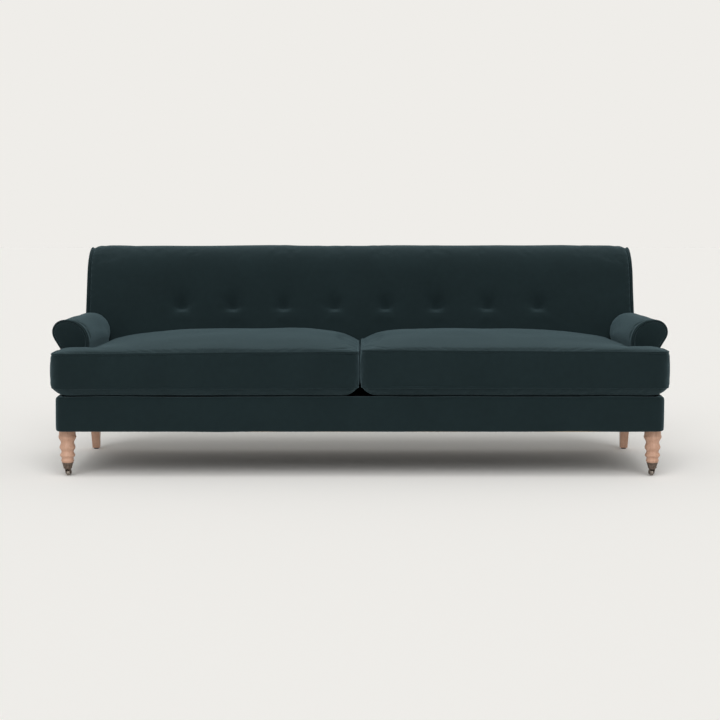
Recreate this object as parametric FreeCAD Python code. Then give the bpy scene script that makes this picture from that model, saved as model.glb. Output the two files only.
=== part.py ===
import FreeCAD, Part
import math
import os

# A sofa: two loose T-shaped seat cushions, a buttoned tight back, flared scroll arms,
# turned front legs on castors and raked square rear legs.
# Millimetres. +Z is up, +X is to the right seen from the front, and the front faces -Y.
# The origin lies on the floor, under the middle of the overall box. Left is -X.

# ---- overall sizes ----
overall_width = 2300.0
overall_depth = 900.0
overall_height = 835.0

# ---- base ----
base_bottom = 172.0
base_height = 130.0
base_side_inset = 35.0
base_front_inset = 18.0
border_pad = 20.0
border_corner_radius = 28.0
border_edge_radius = 7.0
rail_thickness = 30.0
rail_height = 100.0
corner_block = 90.0
corner_chamfer = 20.0
brace_width = 40.0
brace_height = 45.0
brace_spread = 743.0
leg_cutout_margin = 5.0
dust_cover_thickness = 1.0
dust_cover_margin = 25.0

# ---- back ----
back_top_radius = 92.0
face_rake = math.radians(18.5)
rear_rake = math.radians(5.3)
knee_drop = 10.0
back_side_pad = 22.0
outside_panel = 8.0
outside_panel_drop = 93.0
post_width = 38.0
post_depth = 60.0
top_rail_cover = 70.0
top_rail_height = 65.0
tuck_rail_lift = 4.0
tuck_rail_height = 40.0
tuck_rail_thickness = 28.0
upright_width = 40.0
upright_depth = 40.0
rear_rail_thickness = 30.0

# ---- webbing, buttons and their ties ----
webbing_width = 50.0
webbing_thickness = 1.6
webbing_pitch = 72.0
button_count = 8
button_pitch = 202.0
button_rise_share = 0.46
button_radius = 13.5
button_thickness = 8.0
dimple_radius = 38.0
dimple_depth = 24.0
dimple_floor_radius = 15.5
button_rounding = 4.8
tie_radius = 1.2
tie_hole_radius = 1.7
toggle_radius = 3.0
toggle_length = 30.0

# ---- arms ----
ear_depth = 200.0
arm_width = 132.0
arm_height = 571.0
arm_flare = math.radians(3.9)
scroll_radius = 46.0
shoulder_radius = 78.0
under_scroll_angle = math.radians(31.0)
neck_radius = 40.0
arm_padding = 18.0
panel_thickness = 4.0
slab_width = 46.0
stump_thickness = 32.0
stump_foot_width = 40.0
stump_foot_drop = 90.0
arm_rail_width = 48.0
arm_rail_height = 28.0
arm_rail_drop = 38.0
arm_tuck_width = 22.0

# ---- seat: springs, deck and cushions ----
spring_pitch = 160.0
spring_wire_radius = 1.9
spring_half_width = 36.0
spring_loop = 40.0
clip_width = 24.0
clip_depth = 12.0
clip_height = 7.4
hessian_thickness = 1.0
deck_cover_thickness = 1.5
seam_lift = 34.0
cushion_border = 126.0
crown_rise = 58.0
cushion_gap = 7.0
cushion_side_clearance = 3.0
cushion_rear_clearance = 12.0
ear_clearance = 6.0
ear_overhang = 24.0
cushion_corner_radius = 38.0
cushion_notch_radius = 6.0
cover_thickness = 2.0
crown_share = 0.55
belly_share = 0.92
zip_width = 20.0
zip_thickness = 1.2
zip_margin = 60.0
zip_slider = 9.0

# ---- piping ----
piping_radius = 4.0

# ---- legs ----
front_leg_inset = 72.0
collar_radius = 30.5
bobbin_radii = (32.7, 29.0, 28.0)
neck_radii = (24.2, 22.3, 21.8)
ring_radius = 23.6
ankle_radius = 20.7
rear_leg_top = 42.0
rear_leg_foot = 28.4
rear_leg_splay = 34.0
rear_leg_setback = 25.0
glide_radius = 10.0
glide_height = 5.0
glide_nail_radius = 1.2
glide_nail_length = 14.0
stud_radius = 4.0
stud_reach = 42.0
nut_barrel_radius = 5.5
nut_flange_radius = 9.0
nut_flange_thickness = 1.5
nut_length = 16.0

# ---- castors ----
wheel_diameter = 25.0
wheel_width = 12.4
wheel_edge_radius = 1.5
wheel_side_gap = 0.6
wheel_top_gap = 0.9
cheek_thickness = 3.4
cheek_radius = 6.8
castor_trail = 20.0
horn_plate = 3.0
horn_plate_reach = 10.0
swivel_gap = 0.4
cup_height = 22.7
cup_top_radius = 20.7
cup_foot_radius = 14.8
cup_wall = 1.6
cup_floor = 2.6
cup_rim_height = 2.4
cup_rim_lip = 0.9
cup_rim_rounding = 0.7
pivot_radius = 3.0
pivot_length = 16.0
axle_radius = 2.0
axle_head_radius = 3.4
axle_head = 1.0
cup_screw_radius = 1.5
cup_screw_length = 12.0
cup_screw_head_radius = 3.0
cup_screw_head = 1.4

# ---- clearances ----
soft_gap = 0.3
running_fit = 0.05
snug_fit = 0.02
overrun = 1.0

V = FreeCAD.Vector
UP = V(0, 0, 1)
RIGHT = V(1, 0, 0)
BACKWARD = V(0, 1, 0)
FAR = 3000.0

# ---- places worked out from the sizes ----
half_width = overall_width / 2
front_y = -overall_depth / 2
base_half = half_width - base_side_inset
base_front = front_y + base_front_inset
base_top = base_bottom + base_height
seam_low = base_top + seam_lift
seam_high = seam_low + cushion_border
cushion_top = seam_high + crown_rise
rail_outer = base_half - border_pad
rail_inner = rail_outer - rail_thickness
rail_front = base_front + border_pad
rail_back = rail_front + rail_thickness
rail_top = base_bottom + rail_height
border_split = rail_front + corner_chamfer
block_inner = rail_outer - corner_block
block_back = rail_front + corner_block
leg_x = (rail_outer + rail_inner) / 2
front_leg_y = base_front + front_leg_inset

roll_y = overall_depth / 2 - back_top_radius
roll_z = overall_height - back_top_radius
knee_z = seam_high - knee_drop
back_half = rail_inner + back_side_pad
pad_half = back_half - 2 * piping_radius
post_inner = rail_inner - post_width
post_front = outside_panel + post_depth
web_front = post_front + 2 * webbing_thickness
top_rail_top = overall_height - top_rail_cover
top_rail_bottom = top_rail_top - top_rail_height
tuck_bottom = base_top + tuck_rail_lift
tuck_top = tuck_bottom + tuck_rail_height
outside_panel_top = overall_height - outside_panel_drop

arm_front = front_y + ear_depth
facing_thickness = 2 * piping_radius
pad_front = arm_front + facing_thickness
stump_back = pad_front + stump_thickness
arm_inner = half_width - arm_width
scroll_x = half_width - scroll_radius
scroll_z = arm_height - scroll_radius
shoulder_z = arm_height - shoulder_radius
panel_top = scroll_z - scroll_radius / 2
arm_rail_top = arm_height - arm_rail_drop
arm_rail_bottom = arm_rail_top - arm_rail_height

spring_z = rail_top + clip_height / 2
hessian_bottom = rail_top + clip_height + soft_gap
deck_pad_bottom = hessian_bottom + hessian_thickness
deck_pad_top = base_top - deck_cover_thickness
deck_split = rail_back - clip_depth - soft_gap

wheel_radius = wheel_diameter / 2
plate_bottom = wheel_diameter + wheel_top_gap
plate_top = plate_bottom + horn_plate
cup_bottom = plate_top + swivel_gap
cup_top = cup_bottom + cup_height
wood_foot = cup_bottom + cup_floor + soft_gap


def rear_y(z, depth=0.0):
    """Y of the raked rear plane at height z, or of a plane that lies depth in front of it."""
    return roll_y + (back_top_radius - depth) / math.cos(rear_rake) + (z - roll_z) * math.tan(rear_rake)


def face_y(z):
    """Y of the raked front face of the back at height z."""
    return roll_y - back_top_radius / math.cos(face_rake) + (z - roll_z) * math.tan(face_rake)


def flare_shift(y):
    """How far the flared arm has moved inward at y, from its place at the facing."""
    return (y - arm_front) * math.tan(arm_flare)


seat_back_y = face_y(knee_z)
button_z = seam_high + button_rise_share * (roll_z - seam_high)
button_columns = [(i - (button_count - 1) / 2) * button_pitch for i in range(button_count)]
cushion_back = seat_back_y - cushion_rear_clearance
ear_back = arm_front - ear_clearance
ear_x = half_width - ear_overhang
deck_back = rear_y(rail_top, outside_panel + rear_rail_thickness)
rear_leg_y = rear_y(base_bottom) - rear_leg_setback


# ---- shape helpers ----
def polygon_face(points):
    return Part.Face(Part.makePolygon(points + [points[0]]))


def box(x0, x1, y0, y1, z0, z1):
    return Part.makeBox(x1 - x0, y1 - y0, z1 - z0, V(x0, y0, z0))


def along_x(outline, x0, x1):
    """A prism over a YZ outline."""
    face = polygon_face([V(x0, y, z) for y, z in outline])
    return face.extrude(RIGHT * (x1 - x0))


def along_z(outline, z0, z1):
    """A prism over an XY outline."""
    face = polygon_face([V(x, y, z0) for x, y in outline])
    return face.extrude(UP * (z1 - z0))


def along_y(outline, y0, y1, drift=0.0):
    """A prism over an XZ outline, which drifts sideways by drift towards its far end."""
    face = polygon_face([V(x, y0, z) for x, z in outline])
    return face.extrude(V(drift, y1 - y0, 0))


def upright_rod(x, y, z0, z1, radius):
    return Part.makeCylinder(radius, z1 - z0, V(x, y, z0), UP)


def mirror(shape):
    return shape.mirror(V(0, 0, 0), RIGHT)


def both(shape):
    return [shape, mirror(shape)]


def group(shapes):
    solids = []
    for shape in shapes:
        solids += shape.Solids
    return Part.makeCompound(solids)


def raked(x0, x1, z0, z1, near, far):
    """A bar between two heights, from near to far in front of the raked rear plane."""
    outline = [(rear_y(z0, near), z0), (rear_y(z1, near), z1), (rear_y(z1, far), z1), (rear_y(z0, far), z0)]
    return along_x(outline, x0, x1)


def line(a, b):
    return Part.LineSegment(a, b).toShape()


def arc(a, middle, b):
    return Part.Arc(a, middle, b).toShape()


def rounded_wire(points, radii, closed=True):
    """A wire through points whose corners are rounded by tangent arcs; a radius of 0 stays sharp."""
    count = len(points)
    starts = list(points)
    ends = list(points)
    middles = [None] * count
    for i in range(count):
        if radii[i] <= 0 or (not closed and i in (0, count - 1)):
            continue
        before = (points[i - 1] - points[i]).normalize()
        after = (points[(i + 1) % count] - points[i]).normalize()
        half = before.getAngle(after) / 2
        reach = radii[i] / math.tan(half)
        bisector = (before + after).normalize()
        starts[i] = points[i] + before * reach
        ends[i] = points[i] + after * reach
        middles[i] = points[i] + bisector * (radii[i] / math.sin(half) - radii[i])
    edges = []
    for i in range(count):
        if middles[i] is not None:
            edges.append(arc(starts[i], middles[i], ends[i]))
        if closed or i < count - 1:
            edges.append(line(ends[i], starts[(i + 1) % count]))
    return Part.Wire(Part.__sortEdges__(edges))


def tube(path, start, direction, radius):
    """A round tube of the given radius swept along a path."""
    section = Part.Wire(Part.Circle(start, direction, radius).toShape())
    return path.makePipeShell([section], True, False, 1)


# ---- the back's side outline ----
def back_points(inset, foot):
    """Named points of the back's side outline, drawn in by inset, from a foot at the given height."""
    radius = back_top_radius - inset
    front = seat_back_y + inset
    knee = roll_z + (front - roll_y + radius / math.cos(face_rake)) / math.tan(face_rake)
    return {
        "front_foot": (front, foot),
        "knee": (front, knee),
        "face_top": (roll_y - radius * math.cos(face_rake), roll_z + radius * math.sin(face_rake)),
        "crest": (roll_y, roll_z + radius),
        "rear_top": (roll_y + radius * math.cos(rear_rake), roll_z - radius * math.sin(rear_rake)),
        "rear_foot": (rear_y(foot, inset), foot),
    }


def back_prism(inset, foot, x0, x1):
    at = {name: V(x0, y, z) for name, (y, z) in back_points(inset, foot).items()}
    edges = [
        line(at["front_foot"], at["knee"]),
        line(at["knee"], at["face_top"]),
        arc(at["face_top"], at["crest"], at["rear_top"]),
        line(at["rear_top"], at["rear_foot"]),
        line(at["rear_foot"], at["front_foot"]),
    ]
    return Part.Face(Part.Wire(edges)).extrude(RIGHT * (x1 - x0))


def keep_ahead_of(shape, depth):
    """The part of a shape that lies at least depth in front of the raked rear plane."""
    return shape.common(raked(-FAR, FAR, 0, FAR, depth, FAR))


# ---- the arm's front outline ----
def arm_edges(inset, foot, outer, y):
    """The arm's outline seen from the front, drawn in by inset, as an open run of edges."""
    def at(x, z):
        return V(x, y, z)
    radius = scroll_radius - inset
    shoulder = shoulder_radius - inset
    bend = math.sin(math.radians(45))
    inner = arm_inner + inset
    shoulder_x = arm_inner + shoulder_radius
    side = outer - inset
    leave = at(scroll_x + radius * math.cos(under_scroll_angle),
               scroll_z - radius * math.sin(under_scroll_angle))
    slope = math.tan(math.pi / 2 - under_scroll_angle)
    corner = at(side, leave.z - (leave.x - side) * slope)
    neck = neck_radius * math.tan(under_scroll_angle / 2)
    neck_start = corner + (leave - corner).normalize() * neck
    neck_end = at(side, corner.z - neck)
    neck_middle = corner + (neck_start + neck_end - corner * 2).normalize() * (
        neck_radius / math.cos(under_scroll_angle / 2) - neck_radius)
    return [
        line(at(inner, foot), at(inner, shoulder_z)),
        arc(at(inner, shoulder_z), at(shoulder_x - shoulder * bend, shoulder_z + shoulder * bend),
            at(shoulder_x, arm_height - inset)),
        line(at(shoulder_x, arm_height - inset), at(scroll_x, arm_height - inset)),
        arc(at(scroll_x, arm_height - inset), at(scroll_x + radius, scroll_z), leave),
        line(leave, neck_start),
        arc(neck_start, neck_middle, neck_end),
        line(neck_end, at(side, foot)),
    ]


def arm_face(inset, foot, outer, y):
    edges = arm_edges(inset, foot, outer, y)
    edges.append(line(edges[-1].Vertexes[-1].Point, edges[0].Vertexes[0].Point))
    return Part.Face(Part.Wire(Part.__sortEdges__(edges)))


# ---- base ----
def stud_bores(x, y):
    """What the leg's stud and its tee nut take out of the timber above them."""
    barrel = upright_rod(x, y, base_bottom, base_bottom + nut_length, nut_barrel_radius + snug_fit)
    flange = upright_rod(x, y, base_bottom, base_bottom + nut_flange_thickness, nut_flange_radius + snug_fit)
    shank = upright_rod(x, y, base_bottom, base_bottom + stud_reach + overrun, stud_radius + 4 * running_fit)
    return barrel.fuse([flange, shank])


def make_front_rail():
    return box(-block_inner, block_inner, rail_front, rail_back, base_bottom, rail_top)


def make_corner_blocks():
    outline = [
        (block_inner, rail_front), (rail_outer - corner_chamfer, rail_front),
        (rail_outer, rail_front + corner_chamfer), (rail_outer, block_back), (block_inner, block_back),
    ]
    block = along_z(outline, base_bottom, rail_top).cut(stud_bores(leg_x, front_leg_y))
    return group(both(block))


def make_side_rails():
    outline = [
        (block_back, base_bottom), (rear_y(base_bottom, outside_panel), base_bottom),
        (rear_y(rail_top, outside_panel), rail_top), (block_back, rail_top),
    ]
    rail = along_x(outline, rail_inner, rail_outer).cut(stud_bores(leg_x, rear_leg_y))
    return group(both(rail))


def make_rear_rail():
    depth = outside_panel + rear_rail_thickness
    return raked(-post_inner, post_inner, base_bottom, rail_top, outside_panel, depth)


def make_cross_braces():
    depth = outside_panel + rear_rail_thickness
    top = base_bottom + brace_height
    outline = [
        (rail_back, base_bottom), (rear_y(base_bottom, depth), base_bottom),
        (rear_y(top, depth), top), (rail_back, top),
    ]
    places = (-brace_spread / 2, brace_spread / 2)
    return group([along_x(outline, x - brace_width / 2, x + brace_width / 2) for x in places])


def make_border_front():
    outer = box(-base_half, base_half, base_front, border_split, base_bottom, base_top)
    corners = [e for e in outer.Edges
               if abs(e.Length - base_height) < snug_fit and e.BoundBox.YMax < base_front + snug_fit]
    outer = outer.makeFillet(border_corner_radius, corners)
    rims = [e for e in outer.Edges
            if e.BoundBox.ZLength < snug_fit and e.BoundBox.YMax < border_split - snug_fit]
    rims += [e for e in outer.Edges
             if e.BoundBox.ZLength < snug_fit and e.BoundBox.XLength < snug_fit]
    outer = outer.makeFillet(border_edge_radius, rims)
    core = along_z([
        (-rail_outer, border_split), (-rail_outer + corner_chamfer, rail_front),
        (rail_outer - corner_chamfer, rail_front), (rail_outer, border_split),
    ], 0, FAR)
    return outer.cut(core)


def make_border_side():
    border = box(rail_outer, base_half, border_split, FAR, base_bottom, base_top)
    rims = [e for e in border.Edges
            if e.BoundBox.XMin > base_half - snug_fit and e.BoundBox.ZLength < snug_fit]
    return keep_ahead_of(border.makeFillet(border_edge_radius, rims), 0)


def make_dust_cover():
    reach = rear_y(base_bottom) - dust_cover_margin
    sheet = box(-base_half + dust_cover_margin, base_half - dust_cover_margin,
                base_front + dust_cover_margin, reach, base_bottom - dust_cover_thickness, base_bottom)
    front = upright_rod(leg_x, front_leg_y, 0, FAR, collar_radius + leg_cutout_margin)
    notch = rear_leg_top / 2 + leg_cutout_margin
    rear = box(leg_x - notch, FAR, rear_leg_y - notch, FAR, 0, FAR)
    return sheet.cut(both(front) + both(rear))


# ---- back frame ----
def make_back_post():
    return raked(post_inner, rail_inner, base_bottom, top_rail_top, outside_panel, post_front)


def make_top_rail():
    return raked(-post_inner, post_inner, top_rail_bottom, top_rail_top, outside_panel, post_front)


def make_tuck_rail():
    near = post_front - tuck_rail_thickness
    return raked(-post_inner, post_inner, tuck_bottom, tuck_top, near, post_front)


def make_uprights():
    near = post_front - upright_depth
    bars = []
    for x in (-2 * button_pitch, 0.0, 2 * button_pitch):
        bars.append(raked(x - upright_width / 2, x + upright_width / 2, tuck_top, top_rail_bottom,
                          near, post_front))
    return group(bars)


def make_outside_panel():
    low = raked(-rail_outer, rail_outer, base_bottom, rail_top, 0, outside_panel)
    high = raked(-rail_inner, rail_inner, rail_top, outside_panel_top, 0, outside_panel)
    return low.fuse(high).removeSplitter()


# ---- buttons, ties and webbing ----
def face_normal():
    return V(0, -math.cos(face_rake), math.sin(face_rake))


def button_seat(x):
    """The middle of a dimple's floor."""
    surface = V(x, face_y(button_z), button_z)
    return surface - face_normal() * dimple_depth


def tie_start(x):
    return button_seat(x) - face_normal() * soft_gap


def tie_line():
    """The direction of a tie, straight back through the webbing."""
    return V(0, math.cos(rear_rake), -math.sin(rear_rake))


def tie_length(depth):
    """How far a tie runs from the dimple's floor to a plane depth in front of the rear plane."""
    start = tie_start(0)
    return (rear_y(start.z, depth) - start.y) * math.cos(rear_rake)


def tie_height():
    """The height at which the ties pass through the webbing."""
    return tie_start(0).z - tie_length(post_front) * math.sin(rear_rake)


def make_buttons():
    buttons = []
    for x in button_columns:
        foot = button_seat(x) + face_normal() * soft_gap
        disc = Part.makeCylinder(button_radius, button_thickness, foot, face_normal())
        rim = [e for e in disc.Edges
               if e.Closed and e.CenterOfMass.distanceToPoint(foot) > button_thickness / 2]
        buttons.append(disc.makeFillet(button_rounding, rim))
    return group(buttons)


def make_ties():
    toggle_depth = post_front - toggle_radius - soft_gap
    ties = []
    for x in button_columns:
        length = tie_length(toggle_depth)
        cord = Part.makeCylinder(tie_radius, length, tie_start(x), tie_line())
        middle = tie_start(x) + tie_line() * length
        end = middle - RIGHT * (toggle_length / 2)
        toggle = Part.makeCylinder(toggle_radius, toggle_length, end, RIGHT)
        ties.append(cord.fuse(toggle))
    return group(ties)


def cut_tie_holes(shape):
    reach = tie_length(0) + dimple_depth
    holes = [Part.makeCylinder(tie_hole_radius, reach, tie_start(x) - tie_line() * dimple_depth, tie_line())
             for x in button_columns]
    return shape.cut(holes)


def fit_strips(low, high):
    """Bottoms of as many webbing strips as fit between two heights, evenly spread."""
    room = high - low
    count = int((room + webbing_pitch - webbing_width) // webbing_pitch)
    spare = room - count * webbing_width
    return [low + spare / (count + 1) * (i + 1) + webbing_width * i for i in range(max(count, 0))]


def make_webbing():
    strips = []
    half = webbing_width / 2
    low = (tuck_bottom + tuck_top) / 2
    high = (top_rail_bottom + top_rail_top) / 2
    layer = post_front + webbing_thickness
    for x in button_columns:
        strips.append(raked(x - half, x + half, low, high, post_front, layer))
    strips = [cut_tie_holes(strip) for strip in strips]
    reach = post_inner + post_width / 2
    clear_of_ties = tie_height() + half
    levels = fit_strips(tuck_top, min(arm_rail_bottom, tie_height() - webbing_width / 4))
    levels += fit_strips(max(arm_rail_top, clear_of_ties), top_rail_bottom)
    for z in levels:
        strips.append(raked(-reach, reach, z, z + webbing_width, layer, web_front))
    return group(strips)


# ---- arms ----
def scroll_prism(outer):
    """The flared roll and inside of an arm, from its front to past the rear plane."""
    face = arm_face(0, rail_top, outer, arm_front)
    face.translate(V(-flare_shift(pad_front), facing_thickness, 0))
    run = overall_depth
    return face.extrude(V(-run * math.tan(arm_flare), run, 0))


def make_stump():
    inner = arm_inner + arm_padding
    shoulder = shoulder_radius - arm_padding
    roll = scroll_radius - arm_padding
    bend = math.sin(math.radians(45))
    shoulder_x = arm_inner + shoulder_radius
    outer = rail_outer - arm_padding
    top = arm_height - arm_padding
    leave_x = scroll_x + roll * math.cos(under_scroll_angle)
    leave_z = scroll_z - roll * math.sin(under_scroll_angle)
    slope = math.tan(math.pi / 2 - under_scroll_angle)
    outline = [
        (inner, rail_top), (inner, shoulder_z),
        (shoulder_x - shoulder * bend, shoulder_z + shoulder * bend), (shoulder_x, top), (scroll_x, top),
        (scroll_x + roll * bend, scroll_z + roll * bend), (scroll_x + roll, scroll_z), (leave_x, leave_z),
        (outer, leave_z - (leave_x - outer) * slope), (outer, rail_top),
    ]
    head = along_y(outline, pad_front, stump_back)
    foot = box(rail_inner - stump_foot_width, rail_inner, pad_front, stump_back,
               rail_top - stump_foot_drop, rail_top)
    return head.fuse(foot).removeSplitter()


def make_arm_rail():
    outer = rail_inner - overrun + flare_shift(seat_back_y) - flare_shift(stump_back)
    inner = outer - arm_rail_width
    outline = [
        (inner, arm_rail_bottom), (outer, arm_rail_bottom), (outer, arm_rail_top), (inner, arm_rail_top),
    ]
    run = overall_depth
    bar = along_y(outline, stump_back, stump_back + run, -run * math.tan(arm_flare))
    return keep_ahead_of(bar, post_front)


def make_arm_tuck_rail():
    middle = rail_inner - stump_foot_width / 2
    half = arm_tuck_width / 2
    bar = box(middle - half, middle + half, stump_back, FAR, tuck_bottom, tuck_top)
    return keep_ahead_of(bar, post_front)


def make_arm_pad(stump, rails):
    roll = scroll_prism(rail_outer - slab_width)
    slab = box(rail_outer - slab_width - overrun, rail_outer - panel_thickness,
               pad_front, FAR, rail_top, panel_top)
    pad = keep_ahead_of(roll.fuse(slab), 0)
    envelope = back_prism(-soft_gap, rail_top - overrun, -back_half - soft_gap, back_half + soft_gap)
    return pad.cut([stump, envelope] + rails)


def make_arm_panel():
    sheet = box(rail_outer - panel_thickness, rail_outer, pad_front, FAR, rail_top, panel_top)
    return keep_ahead_of(sheet, 0).cut(scroll_prism(rail_outer - slab_width))


def make_arm_facing():
    inset = 2 * piping_radius + soft_gap
    face = arm_face(inset, rail_top, rail_outer, arm_front)
    return face.extrude(BACKWARD * facing_thickness)


def make_arm_piping():
    foot = rail_top + soft_gap
    y = pad_front - piping_radius - soft_gap
    path = Part.Wire(arm_edges(piping_radius, foot, rail_outer, y))
    return tube(path, V(arm_inner + piping_radius, y, foot), UP, piping_radius)


# ---- back upholstery ----
def make_back_pad(arm_rails):
    foot = base_top + soft_gap
    pad = back_prism(0, foot, -pad_half, pad_half)
    frame_room = raked(-FAR, FAR, 0, top_rail_top + soft_gap, outside_panel, web_front + soft_gap)
    panel_room = raked(-FAR, FAR, 0, outside_panel_top + soft_gap, -FAR, outside_panel)
    side_room = back_prism(2 * piping_radius, foot - overrun, rail_inner, back_half)
    pad = pad.cut([frame_room, panel_room] + both(side_room))
    normal = face_normal()
    dimples = [Part.makeCone(dimple_floor_radius, dimple_radius, dimple_depth, button_seat(x), normal)
               for x in button_columns]
    pad = pad.cut(dimples)
    pad = cut_tie_holes(pad)
    return pad.cut(arm_rails)


def make_back_side():
    return back_prism(2 * piping_radius + soft_gap, rail_top, rail_inner, back_half)


def make_back_piping():
    x = back_half - piping_radius + soft_gap
    foot = rail_top + 2 * soft_gap
    at = {name: V(x, y, z) for name, (y, z) in back_points(piping_radius, foot).items()}
    lower = rounded_wire([at["front_foot"], at["knee"], at["face_top"]], [0, 4 * piping_radius, 0], False)
    edges = lower.Edges + [
        arc(at["face_top"], at["crest"], at["rear_top"]),
        line(at["rear_top"], at["rear_foot"]),
    ]
    return tube(Part.Wire(Part.__sortEdges__(edges)), at["front_foot"], UP, piping_radius)


# ---- seat suspension and deck ----
def spring_columns():
    reach = arm_inner - flare_shift(deck_back) - spring_half_width - clip_width
    count = int(2 * reach // spring_pitch)
    return [(i - count / 2) * spring_pitch for i in range(count + 1)]


def spring_ends():
    return rail_back - clip_depth / 2, deck_back + clip_depth / 2


def make_spring(x):
    """One sinuous spring: straight runs across it, joined by half turns at alternate sides."""
    start, end = spring_ends()
    loops = int((end - start) // spring_loop)
    step = (end - start) / loops
    run = spring_half_width - step / 2
    edges = []
    side = 1
    for i in range(loops + 1):
        y = start + i * step
        edges.append(line(V(x - side * run, y, spring_z), V(x + side * run, y, spring_z)))
        if i < loops:
            tip = V(x + side * (run + step / 2), y + step / 2, spring_z)
            edges.append(arc(V(x + side * run, y, spring_z), tip, V(x + side * run, y + step, spring_z)))
        side = -side
    path = Part.Wire(edges)
    return tube(path, V(x - run, start, spring_z), RIGHT, spring_wire_radius)


def make_springs():
    return group([make_spring(x) for x in spring_columns()])


def make_clips():
    clips = []
    for x in spring_columns():
        for y in spring_ends():
            block = box(x - clip_width / 2, x + clip_width / 2, y - clip_depth / 2, y + clip_depth / 2,
                        rail_top, rail_top + clip_height)
            bore = Part.makeCylinder(spring_wire_radius + running_fit, clip_width,
                                     V(x - clip_width / 2, y, spring_z), RIGHT)
            clips.append(block.cut(bore))
    return group(clips)


def deck_outline(front, chamfer):
    """The T-shaped plan of the deck, between the arms and out to the border in front of them."""
    neck = arm_front - overrun
    waist = arm_inner - flare_shift(neck) - soft_gap
    rear = arm_inner - flare_shift(deck_back) - soft_gap
    right = [(rail_outer - chamfer, front), (rail_outer, front + chamfer), (rail_outer, neck), (waist, neck),
             (rear, deck_back)]
    if chamfer == 0:
        right = right[1:]
    return right + [(-x, y) for x, y in reversed(right)]


def spring_deck_outline():
    """The deck's plan behind the lip roll."""
    return deck_outline(deck_split, max(border_split - deck_split, 0))


def make_hessian():
    return along_z(spring_deck_outline(), hessian_bottom, deck_pad_bottom)


def make_deck_pad():
    return along_z(spring_deck_outline(), deck_pad_bottom, deck_pad_top)


def make_deck_cover():
    return along_z(deck_outline(rail_front, corner_chamfer), deck_pad_top, base_top)


def make_lip_roll():
    outline = [
        (rail_outer - corner_chamfer, rail_front), (rail_outer, rail_front + corner_chamfer),
        (rail_outer, deck_split - soft_gap), (-rail_outer, deck_split - soft_gap),
        (-rail_outer, rail_front + corner_chamfer), (-rail_outer + corner_chamfer, rail_front),
    ]
    if deck_split - soft_gap <= rail_front + corner_chamfer:
        x = rail_outer - corner_chamfer + (deck_split - soft_gap - rail_front)
        outline = [(rail_outer - corner_chamfer, rail_front), (x, deck_split - soft_gap),
                   (-x, deck_split - soft_gap), (-rail_outer + corner_chamfer, rail_front)]
    return along_z(outline, rail_top, deck_pad_top)


# ---- cushions ----
def cushion_side(y, inset):
    """X of the right cushion's flared side at y, drawn in by inset."""
    return arm_inner - flare_shift(y) - cushion_side_clearance - inset / math.cos(arm_flare)


def crown_wire(inset, z):
    """The part of the right cushion's plan that lies between the arms, at height z."""
    left = cushion_gap / 2 + inset
    front = front_y + inset
    rear = cushion_back - inset
    points = [V(left, front, z), V(cushion_side(front, inset), front, z),
              V(cushion_side(rear, inset), rear, z), V(left, rear, z)]
    return rounded_wire(points, [max(cushion_corner_radius - inset, 1)] * 4)


def cushion_wire(inset, z, notch_radius=0.0):
    """The T-shaped plan of the right cushion at height z, drawn in by inset."""
    left = cushion_gap / 2 + inset
    rear = cushion_back - inset
    shoulder = ear_back - inset
    points = [
        V(left, front_y + inset, z),
        V(ear_x - inset, front_y + inset, z),
        V(ear_x - inset, shoulder, z),
        V(cushion_side(shoulder, inset), shoulder, z),
        V(cushion_side(rear, inset), rear, z),
        V(left, rear, z),
    ]
    outer = max(cushion_corner_radius - inset, 1)
    return rounded_wire(points, [outer, outer, outer, notch_radius, outer, outer])


def slab_between(low, high):
    return Part.makeLoft([low, high], True, True)


def shrunk_plan(wire, share, low, high):
    """A smaller copy, at height high, of a cushion's plan that lies at height low."""
    copy = wire.copy()
    copy.scale(share, V((cushion_gap / 2 + ear_x) / 2, (front_y + cushion_back) / 2, low))
    copy.translate(UP * (high - low))
    return copy


def cushion_body(inset):
    """Border, crown and belly of a cushion, with a groove along each seam for the piping."""
    rebate = 2 * piping_radius + soft_gap + inset
    groove = piping_radius + soft_gap
    low = seam_low + groove + inset
    high = seam_high - groove - inset
    border = Part.Face(cushion_wire(inset, low)).extrude(UP * (high - low))
    core_low = seam_low - groove
    core_high = seam_high + groove
    core = Part.Face(cushion_wire(rebate, core_low)).extrude(UP * (core_high - core_low))
    brim = crown_wire(rebate, core_high)
    crown = slab_between(brim, shrunk_plan(brim, crown_share, core_high, cushion_top - inset))
    hem = cushion_wire(rebate, core_low)
    belly = slab_between(shrunk_plan(hem, belly_share, core_low, base_top + inset), hem)
    return border.fuse([core, crown, belly]).removeSplitter()


def make_cushion_core():
    return cushion_body(cover_thickness + soft_gap)


def make_cushion_cover():
    return cushion_body(0).cut(cushion_body(cover_thickness))


def make_cushion_piping():
    tubes = []
    for z in (seam_low, seam_high):
        path = cushion_wire(piping_radius, z, cushion_notch_radius + piping_radius)
        first = path.OrderedEdges[0]
        start = first.Vertexes[0].Point
        tubes.append(tube(path, start, first.tangentAt(first.FirstParameter), piping_radius))
    return group(tubes)


def make_cushion_zip():
    middle = (seam_low + seam_high) / 2
    start = cushion_gap / 2 + zip_margin
    end = arm_inner - flare_shift(cushion_back) - cushion_side_clearance - zip_margin
    outer = cushion_back + zip_thickness
    tape = box(start, end, cushion_back, outer, middle - zip_width / 2, middle + zip_width / 2)
    slider = box(start, start + 2 * zip_slider, outer, outer + zip_thickness * 2,
                 middle - zip_slider / 2, middle + zip_slider / 2)
    return group([tape, slider])


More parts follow.
